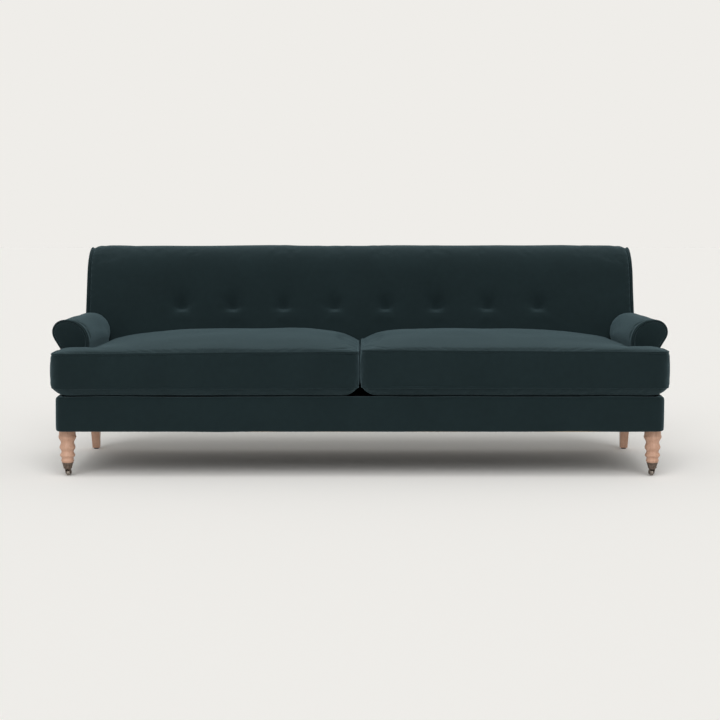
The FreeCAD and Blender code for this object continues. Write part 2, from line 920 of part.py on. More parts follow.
# ---- legs ----
def turned_outline():
    """Radius and height of each high and low place of the turned leg, from the ankle up."""
    length = base_bottom - cup_top
    shares = {"ring": 0.05, "neck3": 0.128, "bobbin3": 0.222, "neck2": 0.334, "bobbin2": 0.467,
              "neck1": 0.616, "bobbin1": 0.796, "collar": 0.885}
    radii = {"ring": ring_radius, "neck3": neck_radii[2], "bobbin3": bobbin_radii[2], "neck2": neck_radii[1],
             "bobbin2": bobbin_radii[1], "neck1": neck_radii[0], "bobbin1": bobbin_radii[0],
             "collar": collar_radius}
    return [(radii[name], cup_top + shares[name] * length) for name in shares]


def make_front_leg():
    x = leg_x
    y = front_leg_y
    outline = turned_outline()
    points = [V(x + ankle_radius, y, cup_top)] + [V(x + r, y, z) for r, z in outline]
    curve = Part.BSplineCurve()
    tangents = [UP] * len(points)
    curve.interpolate(Points=points, Tangents=tangents, TangentFlags=[True] * len(points))
    tail_top = cup_top_radius - cup_wall - soft_gap
    tail_foot = cup_foot_radius - cup_wall - soft_gap
    edges = [
        line(V(x, y, wood_foot), V(x + tail_foot, y, wood_foot)),
        line(V(x + tail_foot, y, wood_foot), V(x + tail_top, y, cup_top)),
        line(V(x + tail_top, y, cup_top), points[0]),
        curve.toShape(),
        line(points[-1], V(x + collar_radius, y, base_bottom)),
        line(V(x + collar_radius, y, base_bottom), V(x, y, base_bottom)),
        line(V(x, y, base_bottom), V(x, y, wood_foot)),
    ]
    leg = Part.Face(Part.Wire(edges)).revolve(V(x, y, 0), UP, 360)
    stud = upright_rod(x, y, base_bottom - stud_reach - overrun, base_bottom, stud_radius + running_fit)
    pivot = upright_rod(x, y, wood_foot - overrun, plate_top + pivot_length + overrun,
                        pivot_radius + 2 * running_fit)
    return leg.cut([stud, pivot, cup_screw_bore()])


def make_rear_leg():
    x = leg_x
    top = rear_leg_top / 2
    foot = rear_leg_foot / 2
    foot_y = rear_leg_y + rear_leg_splay
    high = [V(x - top, rear_leg_y - top, base_bottom), V(x + top, rear_leg_y - top, base_bottom),
            V(x + top, rear_leg_y + top, base_bottom), V(x - top, rear_leg_y + top, base_bottom)]
    low = [V(x - foot, foot_y - foot, glide_height), V(x + foot, foot_y - foot, glide_height),
           V(x + foot, foot_y + foot, glide_height), V(x - foot, foot_y + foot, glide_height)]
    leg = slab_between(Part.makePolygon(low + low[:1]), Part.makePolygon(high + high[:1]))
    stud = upright_rod(x, rear_leg_y, base_bottom - stud_reach - overrun, base_bottom,
                       stud_radius + running_fit)
    nail = upright_rod(x, foot_y, glide_height, glide_height + glide_nail_length + overrun,
                       glide_nail_radius + running_fit)
    return leg.cut([stud, nail])


def make_glides():
    y = rear_leg_y + rear_leg_splay
    disc = upright_rod(leg_x, y, 0, glide_height, glide_radius)
    nail = upright_rod(leg_x, y, glide_height, glide_height + glide_nail_length, glide_nail_radius)
    return group(both(disc.fuse(nail)))


def make_studs():
    studs = []
    for y in (front_leg_y, rear_leg_y):
        studs += both(upright_rod(leg_x, y, base_bottom - stud_reach, base_bottom + stud_reach, stud_radius))
    return group(studs)


def make_tee_nuts():
    nuts = []
    for y in (front_leg_y, rear_leg_y):
        barrel = upright_rod(leg_x, y, base_bottom, base_bottom + nut_length, nut_barrel_radius)
        flange = upright_rod(leg_x, y, base_bottom, base_bottom + nut_flange_thickness, nut_flange_radius)
        bore = upright_rod(leg_x, y, base_bottom, base_bottom + nut_length, stud_radius + running_fit)
        nuts += both(barrel.fuse(flange).cut(bore))
    return group(nuts)


# ---- castors ----
def cup_screw_height():
    return (cup_bottom + cup_top) / 2


def cup_radius(z):
    """Outer radius of the cup at height z."""
    share = (z - cup_bottom) / cup_height
    return cup_foot_radius + (cup_top_radius - cup_foot_radius) * share


def cup_screw_bore():
    height = cup_screw_height()
    end = V(leg_x, front_leg_y + cup_radius(height) - cup_screw_length, height)
    return Part.makeCylinder(cup_screw_radius + running_fit, 2 * cup_screw_length, end, BACKWARD)


def make_cup():
    x = leg_x
    y = front_leg_y
    body = Part.makeCone(cup_foot_radius, cup_top_radius, cup_height, V(x, y, cup_bottom), UP)
    rim = upright_rod(x, y, cup_top - cup_rim_height, cup_top, cup_top_radius + cup_rim_lip)
    rim = rim.makeFillet(cup_rim_rounding, [e for e in rim.Edges if e.Closed])
    foot = cup_bottom + cup_floor
    hollow = Part.makeCone(cup_radius(foot) - cup_wall, cup_top_radius - cup_wall, cup_top - foot,
                           V(x, y, foot), UP)
    pivot = upright_rod(x, y, cup_bottom - overrun, foot + overrun, pivot_radius + running_fit)
    return body.fuse(rim).cut([hollow, pivot, cup_screw_bore()])


def make_cup_screw():
    height = cup_screw_height()
    seat = front_leg_y + cup_radius(height + cup_screw_head_radius) + running_fit
    tip = front_leg_y + cup_radius(height) - cup_screw_length + overrun
    shank = Part.makeCylinder(cup_screw_radius, seat - tip, V(leg_x, tip, height), BACKWARD)
    head = Part.makeCylinder(cup_screw_head_radius, cup_screw_head, V(leg_x, seat, height), BACKWARD)
    return shank.fuse(head)


def make_horn():
    x = leg_x
    y = front_leg_y
    axle_y = y + castor_trail
    half = wheel_width / 2 + wheel_side_gap + cheek_thickness
    plate = upright_rod(x, y, plate_bottom, plate_top, horn_plate_reach)
    bridge = box(x - half, x + half, y, y + castor_trail / 2, plate_bottom, plate_top)
    bend = cheek_radius * math.sin(math.radians(45))
    cheek_outline = [
        (y - horn_plate_reach / 2, plate_top),
        (y - horn_plate_reach / 2, plate_bottom),
        (axle_y - bend, wheel_radius - bend),
        (axle_y + cheek_radius, wheel_radius),
        (axle_y + bend, wheel_radius + bend),
        (y + castor_trail / 2, plate_top),
    ]
    cheeks = []
    for side in (-half, half - cheek_thickness):
        plank = along_x(cheek_outline, x + side, x + side + cheek_thickness)
        boss = Part.makeCylinder(cheek_radius, cheek_thickness, V(x + side, axle_y, wheel_radius), RIGHT)
        cheeks += [plank, boss]
    pin = upright_rod(x, y, plate_top, plate_top + pivot_length, pivot_radius)
    bore = Part.makeCylinder(axle_radius + snug_fit, 2 * half, V(x - half, axle_y, wheel_radius), RIGHT)
    return plate.fuse([bridge, pin] + cheeks).removeSplitter().cut(bore)


def make_axle():
    half = wheel_width / 2 + wheel_side_gap + cheek_thickness + snug_fit
    start = V(leg_x - half, front_leg_y + castor_trail, wheel_radius)
    pin = Part.makeCylinder(axle_radius, 2 * half, start, RIGHT)
    near = Part.makeCylinder(axle_head_radius, axle_head, start, RIGHT * -1)
    far = Part.makeCylinder(axle_head_radius, axle_head, start + RIGHT * (2 * half), RIGHT)
    return pin.fuse([near, far])


def make_wheel():
    start = V(leg_x - wheel_width / 2, front_leg_y + castor_trail, wheel_radius)
    tyre = Part.makeCylinder(wheel_radius, wheel_width, start, RIGHT)
    tyre = tyre.makeFillet(wheel_edge_radius, [e for e in tyre.Edges if e.Closed])
    bore = Part.makeCylinder(axle_radius + running_fit, wheel_width, start, RIGHT)
    return tyre.cut(bore)


# ---- output ----
def save(name, shape):
    shape.exportStep("parts/" + name + ".step")


def save_pair(name, right):
    save(name + "_right", right)
    save(name + "_left", mirror(right))


def build_base():
    save("base_front_rail", make_front_rail())
    save("base_rear_rail", make_rear_rail())
    save("base_side_rails", make_side_rails())
    save("base_cross_braces", make_cross_braces())
    save("corner_blocks", make_corner_blocks())
    save("base_border_front", make_border_front())
    save("base_border_sides", group(both(make_border_side())))
    save("dust_cover", make_dust_cover())


def build_back():
    save("back_posts", group(both(make_back_post())))
    save("back_top_rail", make_top_rail())
    save("back_tuck_rail", make_tuck_rail())
    save("back_uprights", make_uprights())
    save("outside_back_panel", make_outside_panel())
    save("back_webbing", make_webbing())
    save("back_buttons", make_buttons())
    save("back_button_ties", make_ties())
    save_pair("back_side_panel", make_back_side())
    save_pair("back_piping", make_back_piping())


def build_arms():
    stump = make_stump()
    top_rail = make_arm_rail()
    tuck_rail = make_arm_tuck_rail()
    save("arm_stumps", group(both(stump)))
    save("arm_top_rails", group(both(top_rail)))
    save("arm_tuck_rails", group(both(tuck_rail)))
    save_pair("arm_pad", make_arm_pad(stump, [top_rail, tuck_rail]))
    save_pair("arm_facing", make_arm_facing())
    save_pair("arm_facing_piping", make_arm_piping())
    save("outside_arm_panels", group(both(make_arm_panel())))
    save("back_pad", make_back_pad(both(top_rail) + both(tuck_rail)))


def build_seat():
    save("seat_springs", make_springs())
    save("spring_clips", make_clips())
    save("deck_hessian", make_hessian())
    save("deck_pad", make_deck_pad())
    save("deck_cover", make_deck_cover())
    save("front_lip_roll", make_lip_roll())
    save_pair("seat_cushion_cover", make_cushion_cover())
    save_pair("seat_cushion_core", make_cushion_core())
    save_pair("seat_cushion_piping", make_cushion_piping())
    save_pair("seat_cushion_zip", make_cushion_zip())


def build_legs():
    save_pair("front_leg", make_front_leg())
    save("rear_legs", group(both(make_rear_leg())))
    save("rear_glides", make_glides())
    save("leg_studs", make_studs())
    save("tee_nuts", make_tee_nuts())
    save("castor_cups", group(both(make_cup())))
    save("castor_cup_screws", group(both(make_cup_screw())))
    save_pair("castor_horn", make_horn())
    save_pair("castor_axle", make_axle())
    save_pair("castor_wheel", make_wheel())


os.makedirs("parts", exist_ok=True)
build_base()
build_back()
build_arms()
build_seat()
build_legs()
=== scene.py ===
import math

import bmesh
import bpy
import numpy as np
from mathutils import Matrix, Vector
from mathutils import noise


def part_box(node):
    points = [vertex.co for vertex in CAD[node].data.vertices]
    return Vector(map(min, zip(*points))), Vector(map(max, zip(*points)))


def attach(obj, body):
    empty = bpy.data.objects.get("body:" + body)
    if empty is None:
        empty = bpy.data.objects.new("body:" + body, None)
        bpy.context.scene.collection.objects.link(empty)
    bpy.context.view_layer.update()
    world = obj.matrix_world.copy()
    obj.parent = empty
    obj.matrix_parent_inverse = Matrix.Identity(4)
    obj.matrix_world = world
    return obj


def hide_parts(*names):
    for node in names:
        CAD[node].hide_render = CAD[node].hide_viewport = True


# The looks of a long sofa: velvet upholstery over the frame, two loose T-shaped seat
# cushions, a buttoned back, flared scroll arms, turned oak legs and bronze castors.
# Metres, in the frame's own axes: +Z is up, the front faces -Y, left is -X.

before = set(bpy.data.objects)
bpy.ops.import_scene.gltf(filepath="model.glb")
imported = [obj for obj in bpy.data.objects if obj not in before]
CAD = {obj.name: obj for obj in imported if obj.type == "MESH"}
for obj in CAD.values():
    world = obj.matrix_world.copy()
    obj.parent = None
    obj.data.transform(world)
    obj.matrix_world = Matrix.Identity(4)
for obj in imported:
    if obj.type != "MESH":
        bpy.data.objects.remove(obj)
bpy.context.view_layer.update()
SIDES = {"left": -1, "right": 1}
MERGE_GAP = 1e-6

# ---- camera, light and floor ----
CAMERA_DISTANCE = 7.319
CAMERA_HEIGHT = 1.0374
CAMERA_PITCH = math.radians(4.98)
CAMERA_LENS = 94.97
BACKDROP = (0.863, 0.847, 0.815)
SKY = (0.360, 0.354, 0.341)
SKY_STARTS = 0.25
SKY_FULL = 0.45
AMBIENT = 0.49
# Each light: its name, azimuth, tilt from straight down, softness (all in degrees), strength.
LIGHTS = [("overhead", 0, 26, 34, 0.80),
          ("front_left", -16, 56, 30, 0.72),
          ("front_right", 16, 56, 30, 0.72)]
FLOOR_SIZE = 60.0

# ---- velvet ----
VELVET_DARK = (0.0043, 0.0101, 0.0114)
VELVET_LIGHT = (0.0079, 0.0167, 0.0188)
VELVET_SHEEN = 0.24
VELVET_SHEEN_ROUGHNESS = 0.49
VELVET_SHEEN_TINT = (0.52, 0.80, 0.90, 1)

# ---- mesh steps ----
CUSHION_VOXEL = 0.009
ARM_VOXEL = 0.007
BACK_VOXEL = 0.009
PANEL_VOXEL = 0.0045
SIDE_PANEL_COARSER = 1.4
OUTSIDE_ARM_VOXEL = 0.0032
FACING_VOXEL = 0.004
BORDER_VOXEL = 0.007
DECK_VOXEL = 0.009
QUICK_COARSER = 1.5
QUICK_CUSHION_COARSER = 1.6
SOFTEN_SHARE = 0.5
NEAREST_BATCH = 4000

# ---- cloth simulation: no point moves further than its cap ----
SETTLE_FRAMES = 10
SEAM_PIN = 0.011
CUSHION_PRESSURE = 4.0
CUSHION_CAPS = (0.0025, 0.0012, 0.0008)
BACK_PRESSURE = 3.0
BACK_CAP = 0.003
ARM_PRESSURE = 2.5
ARM_CAP = 0.002

# ---- piping ----
PIPE_RADIUS = 0.004
CORD_STEP = 0.006
CORD_SIDES = 12
CORD_SWAY = 0.0005
CORD_SWELL = 0.045

# ---- seat cushions ----
EDGE_ROLL = 0.007
ARM_RAMP = 0.17
GAP_RAMP = 0.075
UNDER_ROUND = 0.065
BORDER_BULGE_FRONT = 0.0020
BORDER_BULGE_SIDE = 0.0015
BORDER_BULGE_REAR = 0.0008
SEAM_LIFT = {"left": (0.0035, -0.0045), "right": (0.0090, 0.0030)}
EAR_STRETCH = 0.0035

# ---- back ----
BACK_LEAN = math.radians(18.5)
ROLL_RADIUS = 0.092
LONG_ROUND = 0.168
CREST_SETBACK = 0.037
SLOW_DROOP = 0.0035
CORNER_DROOP = 0.0085
REAR_SINK = 0.003
BUTTON_RADIUS = 0.0135
BUTTON_SINK = 0.0100
TIE_SHORTER = 0.014
TUFT_REACH = 0.055
POCKET_DEPTH = 0.030
HOLLOW_DEPTH = 0.008
LIP_RISE = 0.0045
FOLD_HEIGHT = 0.0006
SIDE_PANEL_SWELL = 0.0035
PANEL_EDGE = 0.018
PANEL_RAMP = 0.015

# ---- arms ----
ARM_SWELL = 0.003
ARM_END_SWELL = 0.0025
FACING_DOME = 0.004


# ======== camera, light and floor ========
def make_camera():
    data = bpy.data.cameras.new("camera")
    data.lens = CAMERA_LENS
    camera = bpy.data.objects.new("camera", data)
    camera.location = (0, -CAMERA_DISTANCE, CAMERA_HEIGHT)
    camera.rotation_euler = (math.pi / 2 - CAMERA_PITCH, 0, 0)
    bpy.context.scene.collection.objects.link(camera)
    bpy.context.scene.camera = camera


def make_light():
    """A pale studio: the backdrop's colour near the horizon and a dimmer ceiling, with a wide
    bank of soft lights in front and above."""
    world = bpy.data.worlds.new("studio")
    world.use_nodes = True
    nodes, links = world.node_tree.nodes, world.node_tree.links
    place = nodes.new("ShaderNodeTexCoord")
    split = nodes.new("ShaderNodeSeparateXYZ")
    rise = nodes.new("ShaderNodeMapRange")
    rise.inputs["From Min"].default_value = SKY_STARTS
    rise.inputs["From Max"].default_value = SKY_FULL
    tone = nodes.new("ShaderNodeValToRGB")
    tone.color_ramp.elements[0].color = (*BACKDROP, 1)
    tone.color_ramp.elements[1].color = (*SKY, 1)
    links.new(place.outputs["Generated"], split.inputs["Vector"])
    links.new(split.outputs["Z"], rise.inputs["Value"])
    links.new(rise.outputs["Result"], tone.inputs["Fac"])
    links.new(tone.outputs["Color"], nodes["Background"].inputs["Color"])
    bpy.context.scene.world = world
    for name, azimuth, tilt, softness, strength in LIGHTS:
        sun = bpy.data.lights.new(name, "SUN")
        sun.energy = strength
        sun.angle = math.radians(softness)
        lamp = bpy.data.objects.new(name, sun)
        lamp.rotation_euler = (math.radians(tilt), 0, math.radians(azimuth))
        bpy.context.scene.collection.objects.link(lamp)
    bpy.context.scene.view_settings.view_transform = "Standard"


def make_floor():
    """A floor whose lit parts look just like the backdrop, so that no horizon shows."""
    lit = sum(light[4] * math.cos(math.radians(light[2])) for light in LIGHTS) / math.pi
    shade = [c / (c * AMBIENT + lit) for c in BACKDROP]
    material = bpy.data.materials.new("floor")
    material.use_nodes = True
    shader = material.node_tree.nodes["Principled BSDF"]
    shader.inputs["Base Color"].default_value = (*shade, 1)
    shader.inputs["Roughness"].default_value = 1.0
    shader.inputs["Specular IOR Level"].default_value = 0.0
    half = FLOOR_SIZE / 2
    corners = [(-half, -half, 0), (half, -half, 0), (half, half, 0), (-half, half, 0)]
    floor = new_object("floor", corners, [(0, 1, 2, 3)])
    floor.data.materials.append(material)


# ======== mesh tools ========
def new_object(name, points, faces):
    mesh = bpy.data.meshes.new(name)
    mesh.from_pydata([tuple(p) for p in points], [], [tuple(f) for f in faces])
    mesh.update()
    obj = bpy.data.objects.new(name, mesh)
    bpy.context.scene.collection.objects.link(obj)
    return obj


def points_of(obj):
    co = np.zeros(len(obj.data.vertices) * 3)
    obj.data.vertices.foreach_get("co", co)
    return co.reshape(-1, 3)


def put_points(obj, co):
    obj.data.vertices.foreach_set("co", np.asarray(co, np.float32).ravel())
    obj.data.update()


def normals_of(obj):
    out = np.zeros(len(obj.data.vertices) * 3)
    obj.data.vertex_normals.foreach_get("vector", out)
    return out.reshape(-1, 3)


def apply_modifiers(obj):
    graph = bpy.context.evaluated_depsgraph_get()
    mesh = bpy.data.meshes.new_from_object(obj.evaluated_get(graph))
    obj.modifiers.clear()
    old = obj.data
    obj.data = mesh
    bpy.data.meshes.remove(old)


def shade_smooth(obj):
    obj.data.polygons.foreach_set("use_smooth", [True] * len(obj.data.polygons))
    obj.data.update()


def joined(name, nodes, side=0):
    """A new object with the meshes of several CAD nodes, or of their solids on one side."""
    made = bmesh.new()
    for node in nodes:
        made.from_mesh(CAD[node].data)
    bmesh.ops.remove_doubles(made, verts=made.verts, dist=MERGE_GAP)
    if side:
        bmesh.ops.delete(made, geom=[v for v in made.verts if v.co.x * side < 0], context="VERTS")
    mesh = bpy.data.meshes.new(name)
    made.to_mesh(mesh)
    made.free()
    obj = bpy.data.objects.new(name, mesh)
    bpy.context.scene.collection.objects.link(obj)
    return obj


def remesh(obj, voxel):
    """An even quad skin over obj, without what lies inside it."""
    modifier = obj.modifiers.new("remesh", "REMESH")
    modifier.mode = "VOXEL"
    modifier.voxel_size = voxel
    apply_modifiers(obj)
    keep_outer_shells(obj)


def keep_outer_shells(obj):
    """Deletes the shells that lie within the box of a bigger one."""
    made = bmesh.new()
    made.from_mesh(obj.data)
    unseen = set(made.verts)
    shells = []
    while unseen:
        stack = [unseen.pop()]
        shell = list(stack)
        while stack:
            for edge in stack.pop().link_edges:
                for v in edge.verts:
                    if v in unseen:
                        unseen.discard(v)
                        stack.append(v)
                        shell.append(v)
        co = np.array([v.co for v in shell])
        shells.append((co.min(0), co.max(0), shell))
    inner = []
    for i, (low, high, shell) in enumerate(shells):
        held = any((other[0] < low).all() and (other[1] > high).all()
                   for j, other in enumerate(shells) if j != i)
        if held:
            inner += shell
    bmesh.ops.delete(made, geom=inner, context="VERTS")
    made.to_mesh(obj.data)
    made.free()


def voxel(size, coarser):
    return size * 1


def soften(obj, rounds):
    modifier = obj.modifiers.new("soften", "SMOOTH")
    modifier.factor = SOFTEN_SHARE
    modifier.iterations = rounds
    apply_modifiers(obj)


def subdivide(obj):
    modifier = obj.modifiers.new("subdivide", "SUBSURF")
    modifier.levels = 1
    modifier.render_levels = 1
    apply_modifiers(obj)


def edge_chains(pairs):
    """Orders edges, given as pairs of corner numbers, into chains.
    A closed chain repeats no corner."""
    links = {}
    for a, b in pairs:
        links.setdefault(a, []).append(b)
        links.setdefault(b, []).append(a)
    ends = [v for v in links if len(links[v]) == 1]
    unseen = set(links)
    chains = []
    for start in ends + sorted(links):
        if start not in unseen:
            continue
        chain = [start]
        unseen.discard(start)
        while True:
            onward = [v for v in links[chain[-1]] if v in unseen]
            if not onward:
                break
            chain.append(onward[0])
            unseen.discard(onward[0])
        chains.append(chain)
    return chains


def section(node, point, normal):
    """The loops in which a plane cuts a CAD node, longest first."""
    made = bmesh.new()
    made.from_mesh(CAD[node].data)
    bmesh.ops.remove_doubles(made, verts=made.verts, dist=MERGE_GAP)
    geometry = made.verts[:] + made.edges[:] + made.faces[:]
    cut = bmesh.ops.bisect_plane(made, geom=geometry, plane_co=point, plane_no=normal)["geom_cut"]
    edges = [e for e in cut if isinstance(e, bmesh.types.BMEdge)]
    made.verts.index_update()
    co = {v.index: np.array(v.co) for v in made.verts}
    chains = edge_chains([(e.verts[0].index, e.verts[1].index) for e in edges])
    loops = [np.array([co[i] for i in chain]) for chain in chains]
    made.free()
    return sorted(loops, key=lambda loop: -path_length(loop, True))


def path_length(path, closed):
    ends = np.roll(path, -1, 0) if closed else path[1:]
    return np.linalg.norm(ends - path[:len(ends)], axis=1).sum()


def resample(path, count, closed):
    """The same path with evenly spaced points."""
    line = np.vstack([path, path[:1]]) if closed else path
    steps = np.linalg.norm(np.diff(line, axis=0), axis=1)
    at = np.concatenate([[0], np.cumsum(steps)])
    goal = np.linspace(0, at[-1], count + 1)[:-1] if closed else np.linspace(0, at[-1], count)
    return np.stack([np.interp(goal, at, line[:, k]) for k in range(3)], 1)


def even_out(path, rounds, closed):
    """Smooths a path a little and keeps its ends."""
    for _ in range(rounds):
        near = (np.roll(path, 1, 0) + np.roll(path, -1, 0)) / 2
        moved = path * 0.5 + near * 0.5
        if not closed:
            moved[0], moved[-1] = path[0], path[-1]
        path = moved
    return path


def nearest_on(path, points):
    """For each point, the number of the nearest point of a path and its distance."""
    which = np.zeros(len(points), int)
    gap = np.zeros(len(points))
    for start in range(0, len(points), NEAREST_BATCH):
        batch = slice(start, start + NEAREST_BATCH)
        distance = np.linalg.norm(points[batch][:, None, :] - path[None, :, :], axis=2)
        which[batch] = distance.argmin(1)
        gap[batch] = distance.min(1)
    return which, gap


def waves(values, seed, step):
    """Smooth noise from -1 to 1 along a line of distances."""
    return np.array([noise.noise(Vector((v / step, seed * 7.31, seed * 3.17))) for v in values]) * 2


def cloudy(points, seed, step):
    """Smooth noise from -1 to 1 in space."""
    shift = Vector((seed * 3.7, seed * 5.1, seed * 1.9))
    return np.array([noise.noise(Vector(p) / step + shift) for p in points]) * 2


def dress(obj, material, body, nodes=()):
    """Finishes a piece: smooth shading, material and the body it rides on, and hides the CAD nodes
    it stands for.
    """
    shade_smooth(obj)
    obj.data.materials.clear()
    obj.data.materials.append(material)
    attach(obj, body)
    if nodes:
        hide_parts(*nodes)
    return obj


# ======== materials ========
class Recipe:
    """A node material that is built step by step, in the object's own coordinates."""

    def __init__(self, name, roughness=0.5, metallic=0.0):
        self.material = bpy.data.materials.new(name)
        self.material.use_nodes = True
        self.tree = self.material.node_tree
        self.shader = self.tree.nodes["Principled BSDF"]
        self.shader.inputs["Roughness"].default_value = roughness
        self.shader.inputs["Metallic"].default_value = metallic
        self.place = self.tree.nodes.new("ShaderNodeTexCoord").outputs["Object"]

    def link(self, a, b):
        self.tree.links.new(a, b)

    def set(self, **values):
        for name, value in values.items():
            self.shader.inputs[name.replace("_", " ")].default_value = value

    def stretched(self, scale):
        node = self.tree.nodes.new("ShaderNodeMapping")
        node.inputs["Scale"].default_value = scale
        self.link(self.place, node.inputs["Vector"])
        return node.outputs["Vector"]

    def noise(self, scale, detail=3.0, where=None, rough=0.5):
        node = self.tree.nodes.new("ShaderNodeTexNoise")
        node.inputs["Scale"].default_value = scale
        node.inputs["Detail"].default_value = detail
        node.inputs["Roughness"].default_value = rough
        self.link(where or self.place, node.inputs["Vector"])
        return node.outputs["Fac"]

    def weave(self, scale, axis):
        node = self.tree.nodes.new("ShaderNodeTexWave")
        node.bands_direction = axis
        node.inputs["Scale"].default_value = scale
        self.link(self.place, node.inputs["Vector"])
        return node.outputs["Fac"]

    def ramp(self, value, stops):
        node = self.tree.nodes.new("ShaderNodeValToRGB")
        ramp = node.color_ramp
        ramp.elements[0].position, ramp.elements[0].color = stops[0][0], (*stops[0][1], 1)
        ramp.elements[1].position, ramp.elements[1].color = stops[-1][0], (*stops[-1][1], 1)
        for position, colour in stops[1:-1]:
            ramp.elements.new(position).color = (*colour, 1)
        self.link(value, node.inputs["Fac"])
        return node.outputs["Color"]

    def span(self, value, low, high):
        node = self.tree.nodes.new("ShaderNodeMapRange")
        node.inputs["To Min"].default_value = low
        node.inputs["To Max"].default_value = high
        self.link(value, node.inputs["Value"])
        return node.outputs["Result"]

    def sum(self, a, b, operation="ADD"):
        node = self.tree.nodes.new("ShaderNodeMath")
        node.operation = operation
        self.link(a, node.inputs[0])
        self.link(b, node.inputs[1])
        return node.outputs[0]

    def mix(self, factor, a, b, kind="MIX"):
        node = self.tree.nodes.new("ShaderNodeMix")
        node.data_type = "RGBA"
        node.blend_type = kind
        if isinstance(factor, float):
            node.inputs["Factor"].default_value = factor
        else:
            self.link(factor, node.inputs["Factor"])
        for name, value in (("A", a), ("B", b)):
            socket = [s for s in node.inputs if s.name == name and s.type == "RGBA"][0]
            if isinstance(value, tuple):
                socket.default_value = (*value, 1)
            else:
                self.link(value, socket)
        return [s for s in node.outputs if s.type == "RGBA"][0]

    def colour(self, value):
        self.link(value, self.shader.inputs["Base Color"])

    def roughness(self, value):
        self.link(value, self.shader.inputs["Roughness"])

    def bump(self, height, distance, strength=1.0):
        node = self.tree.nodes.new("ShaderNodeBump")
        node.inputs["Distance"].default_value = distance
        node.inputs["Strength"].default_value = strength
        self.link(height, node.inputs["Height"])
        before = self.shader.inputs["Normal"]
        if before.is_linked:
            self.link(before.links[0].from_socket, node.inputs["Normal"])
        self.link(node.outputs["Normal"], before)


def velvet(name):
    """Brushed cotton velvet: a dark pile that catches light where it is seen along its surface."""
    recipe = Recipe(name, roughness=0.9)
    nap = recipe.noise(5.0, 2.0)
    mottle = recipe.noise(46.0, 4.0)
    fibre = recipe.noise(900.0, 2.0)
    worn = recipe.sum(recipe.span(nap, 0.25, 0.75), recipe.span(mottle, -0.18, 0.18))
    tone = recipe.sum(worn, recipe.span(fibre, -0.22, 0.22))
    recipe.colour(recipe.ramp(tone, [(0.2, VELVET_DARK), (0.8, VELVET_LIGHT)]))
    recipe.set(Sheen_Weight=VELVET_SHEEN, Sheen_Roughness=VELVET_SHEEN_ROUGHNESS,
               Sheen_Tint=VELVET_SHEEN_TINT, Specular_IOR_Level=0.12)
    recipe.bump(recipe.noise(1400.0, 1.0), 0.0006, 0.5)
    recipe.bump(recipe.noise(120.0, 3.0), 0.0007, 0.35)
    return recipe.material


def oak(name, pale, dark, shine):
    """Limed oak: long grain along the leg, open pores and a thin matt lacquer."""
    recipe = Recipe(name, roughness=shine)
    grain = recipe.noise(9.0, 6.0, recipe.stretched((14, 14, 1.1)), 0.62)
    pores = recipe.noise(60.0, 3.0, recipe.stretched((16, 16, 0.8)))
    cloud = recipe.noise(14.0, 2.0)
    tone = recipe.sum(recipe.span(grain, 0.0, 0.9), recipe.span(cloud, -0.1, 0.25))
    wood = recipe.ramp(tone, [(0.25, dark), (0.75, pale)])
    specks = recipe.ramp(pores, [(0.30, (0.55, 0.5, 0.46)), (0.42, (1, 1, 1))])
    recipe.colour(recipe.mix(0.8, wood, specks, "MULTIPLY"))
    recipe.roughness(recipe.span(grain, shine + 0.12, shine - 0.06))
    recipe.bump(pores, 0.0006, 0.35)
    recipe.bump(grain, 0.0012, 0.25)
    return recipe.material


def timber(name):
    recipe = Recipe(name, roughness=0.7)
    grain = recipe.noise(7.0, 5.0, recipe.stretched((1, 12, 12)), 0.6)
    recipe.colour(recipe.ramp(grain, [(0.3, (0.50, 0.33, 0.18)), (0.7, (0.68, 0.50, 0.31))]))
    recipe.bump(grain, 0.001, 0.3)
    return recipe.material


def metal(name, dark, light, roughness, grit):
    recipe = Recipe(name, roughness=roughness, metallic=1.0)
    patina = recipe.noise(120.0, 4.0)
    recipe.colour(recipe.ramp(patina, [(0.35, dark), (0.7, light)]))
    recipe.roughness(recipe.span(patina, roughness - 0.08, roughness + 0.14))
    recipe.bump(recipe.noise(700.0, 2.0), grit, 0.4)
    return recipe.material


def cloth(name, dark, light, threads, depth, sheen=0.2):
    """A plain weave: crossed threads, with slubs and uneven colour."""
    recipe = Recipe(name, roughness=0.88)
    warp = recipe.weave(threads, "X")
    weft = recipe.weave(threads, "Y")
    crossed = recipe.sum(warp, weft, "MULTIPLY")
    slub = recipe.noise(180.0, 3.0)
    tone = recipe.sum(recipe.span(crossed, 0.0, 0.6), recipe.span(slub, 0.0, 0.5))
    recipe.colour(recipe.ramp(tone, [(0.15, dark), (0.85, light)]))
    recipe.set(Sheen_Weight=sheen, Sheen_Roughness=0.5, Specular_IOR_Level=sheen)
    recipe.bump(crossed, depth, 0.6)
    recipe.bump(slub, depth, 0.3)
    return recipe.material


def plastic(name, dark, light, roughness):
    recipe = Recipe(name, roughness=roughness)
    cloud = recipe.noise(90.0, 3.0)
    recipe.colour(recipe.ramp(cloud, [(0.3, dark), (0.7, light)]))
    recipe.roughness(recipe.span(cloud, roughness - 0.05, roughness + 0.1))
    recipe.bump(recipe.noise(1200.0, 2.0), 0.0003, 0.3)
    return recipe.material


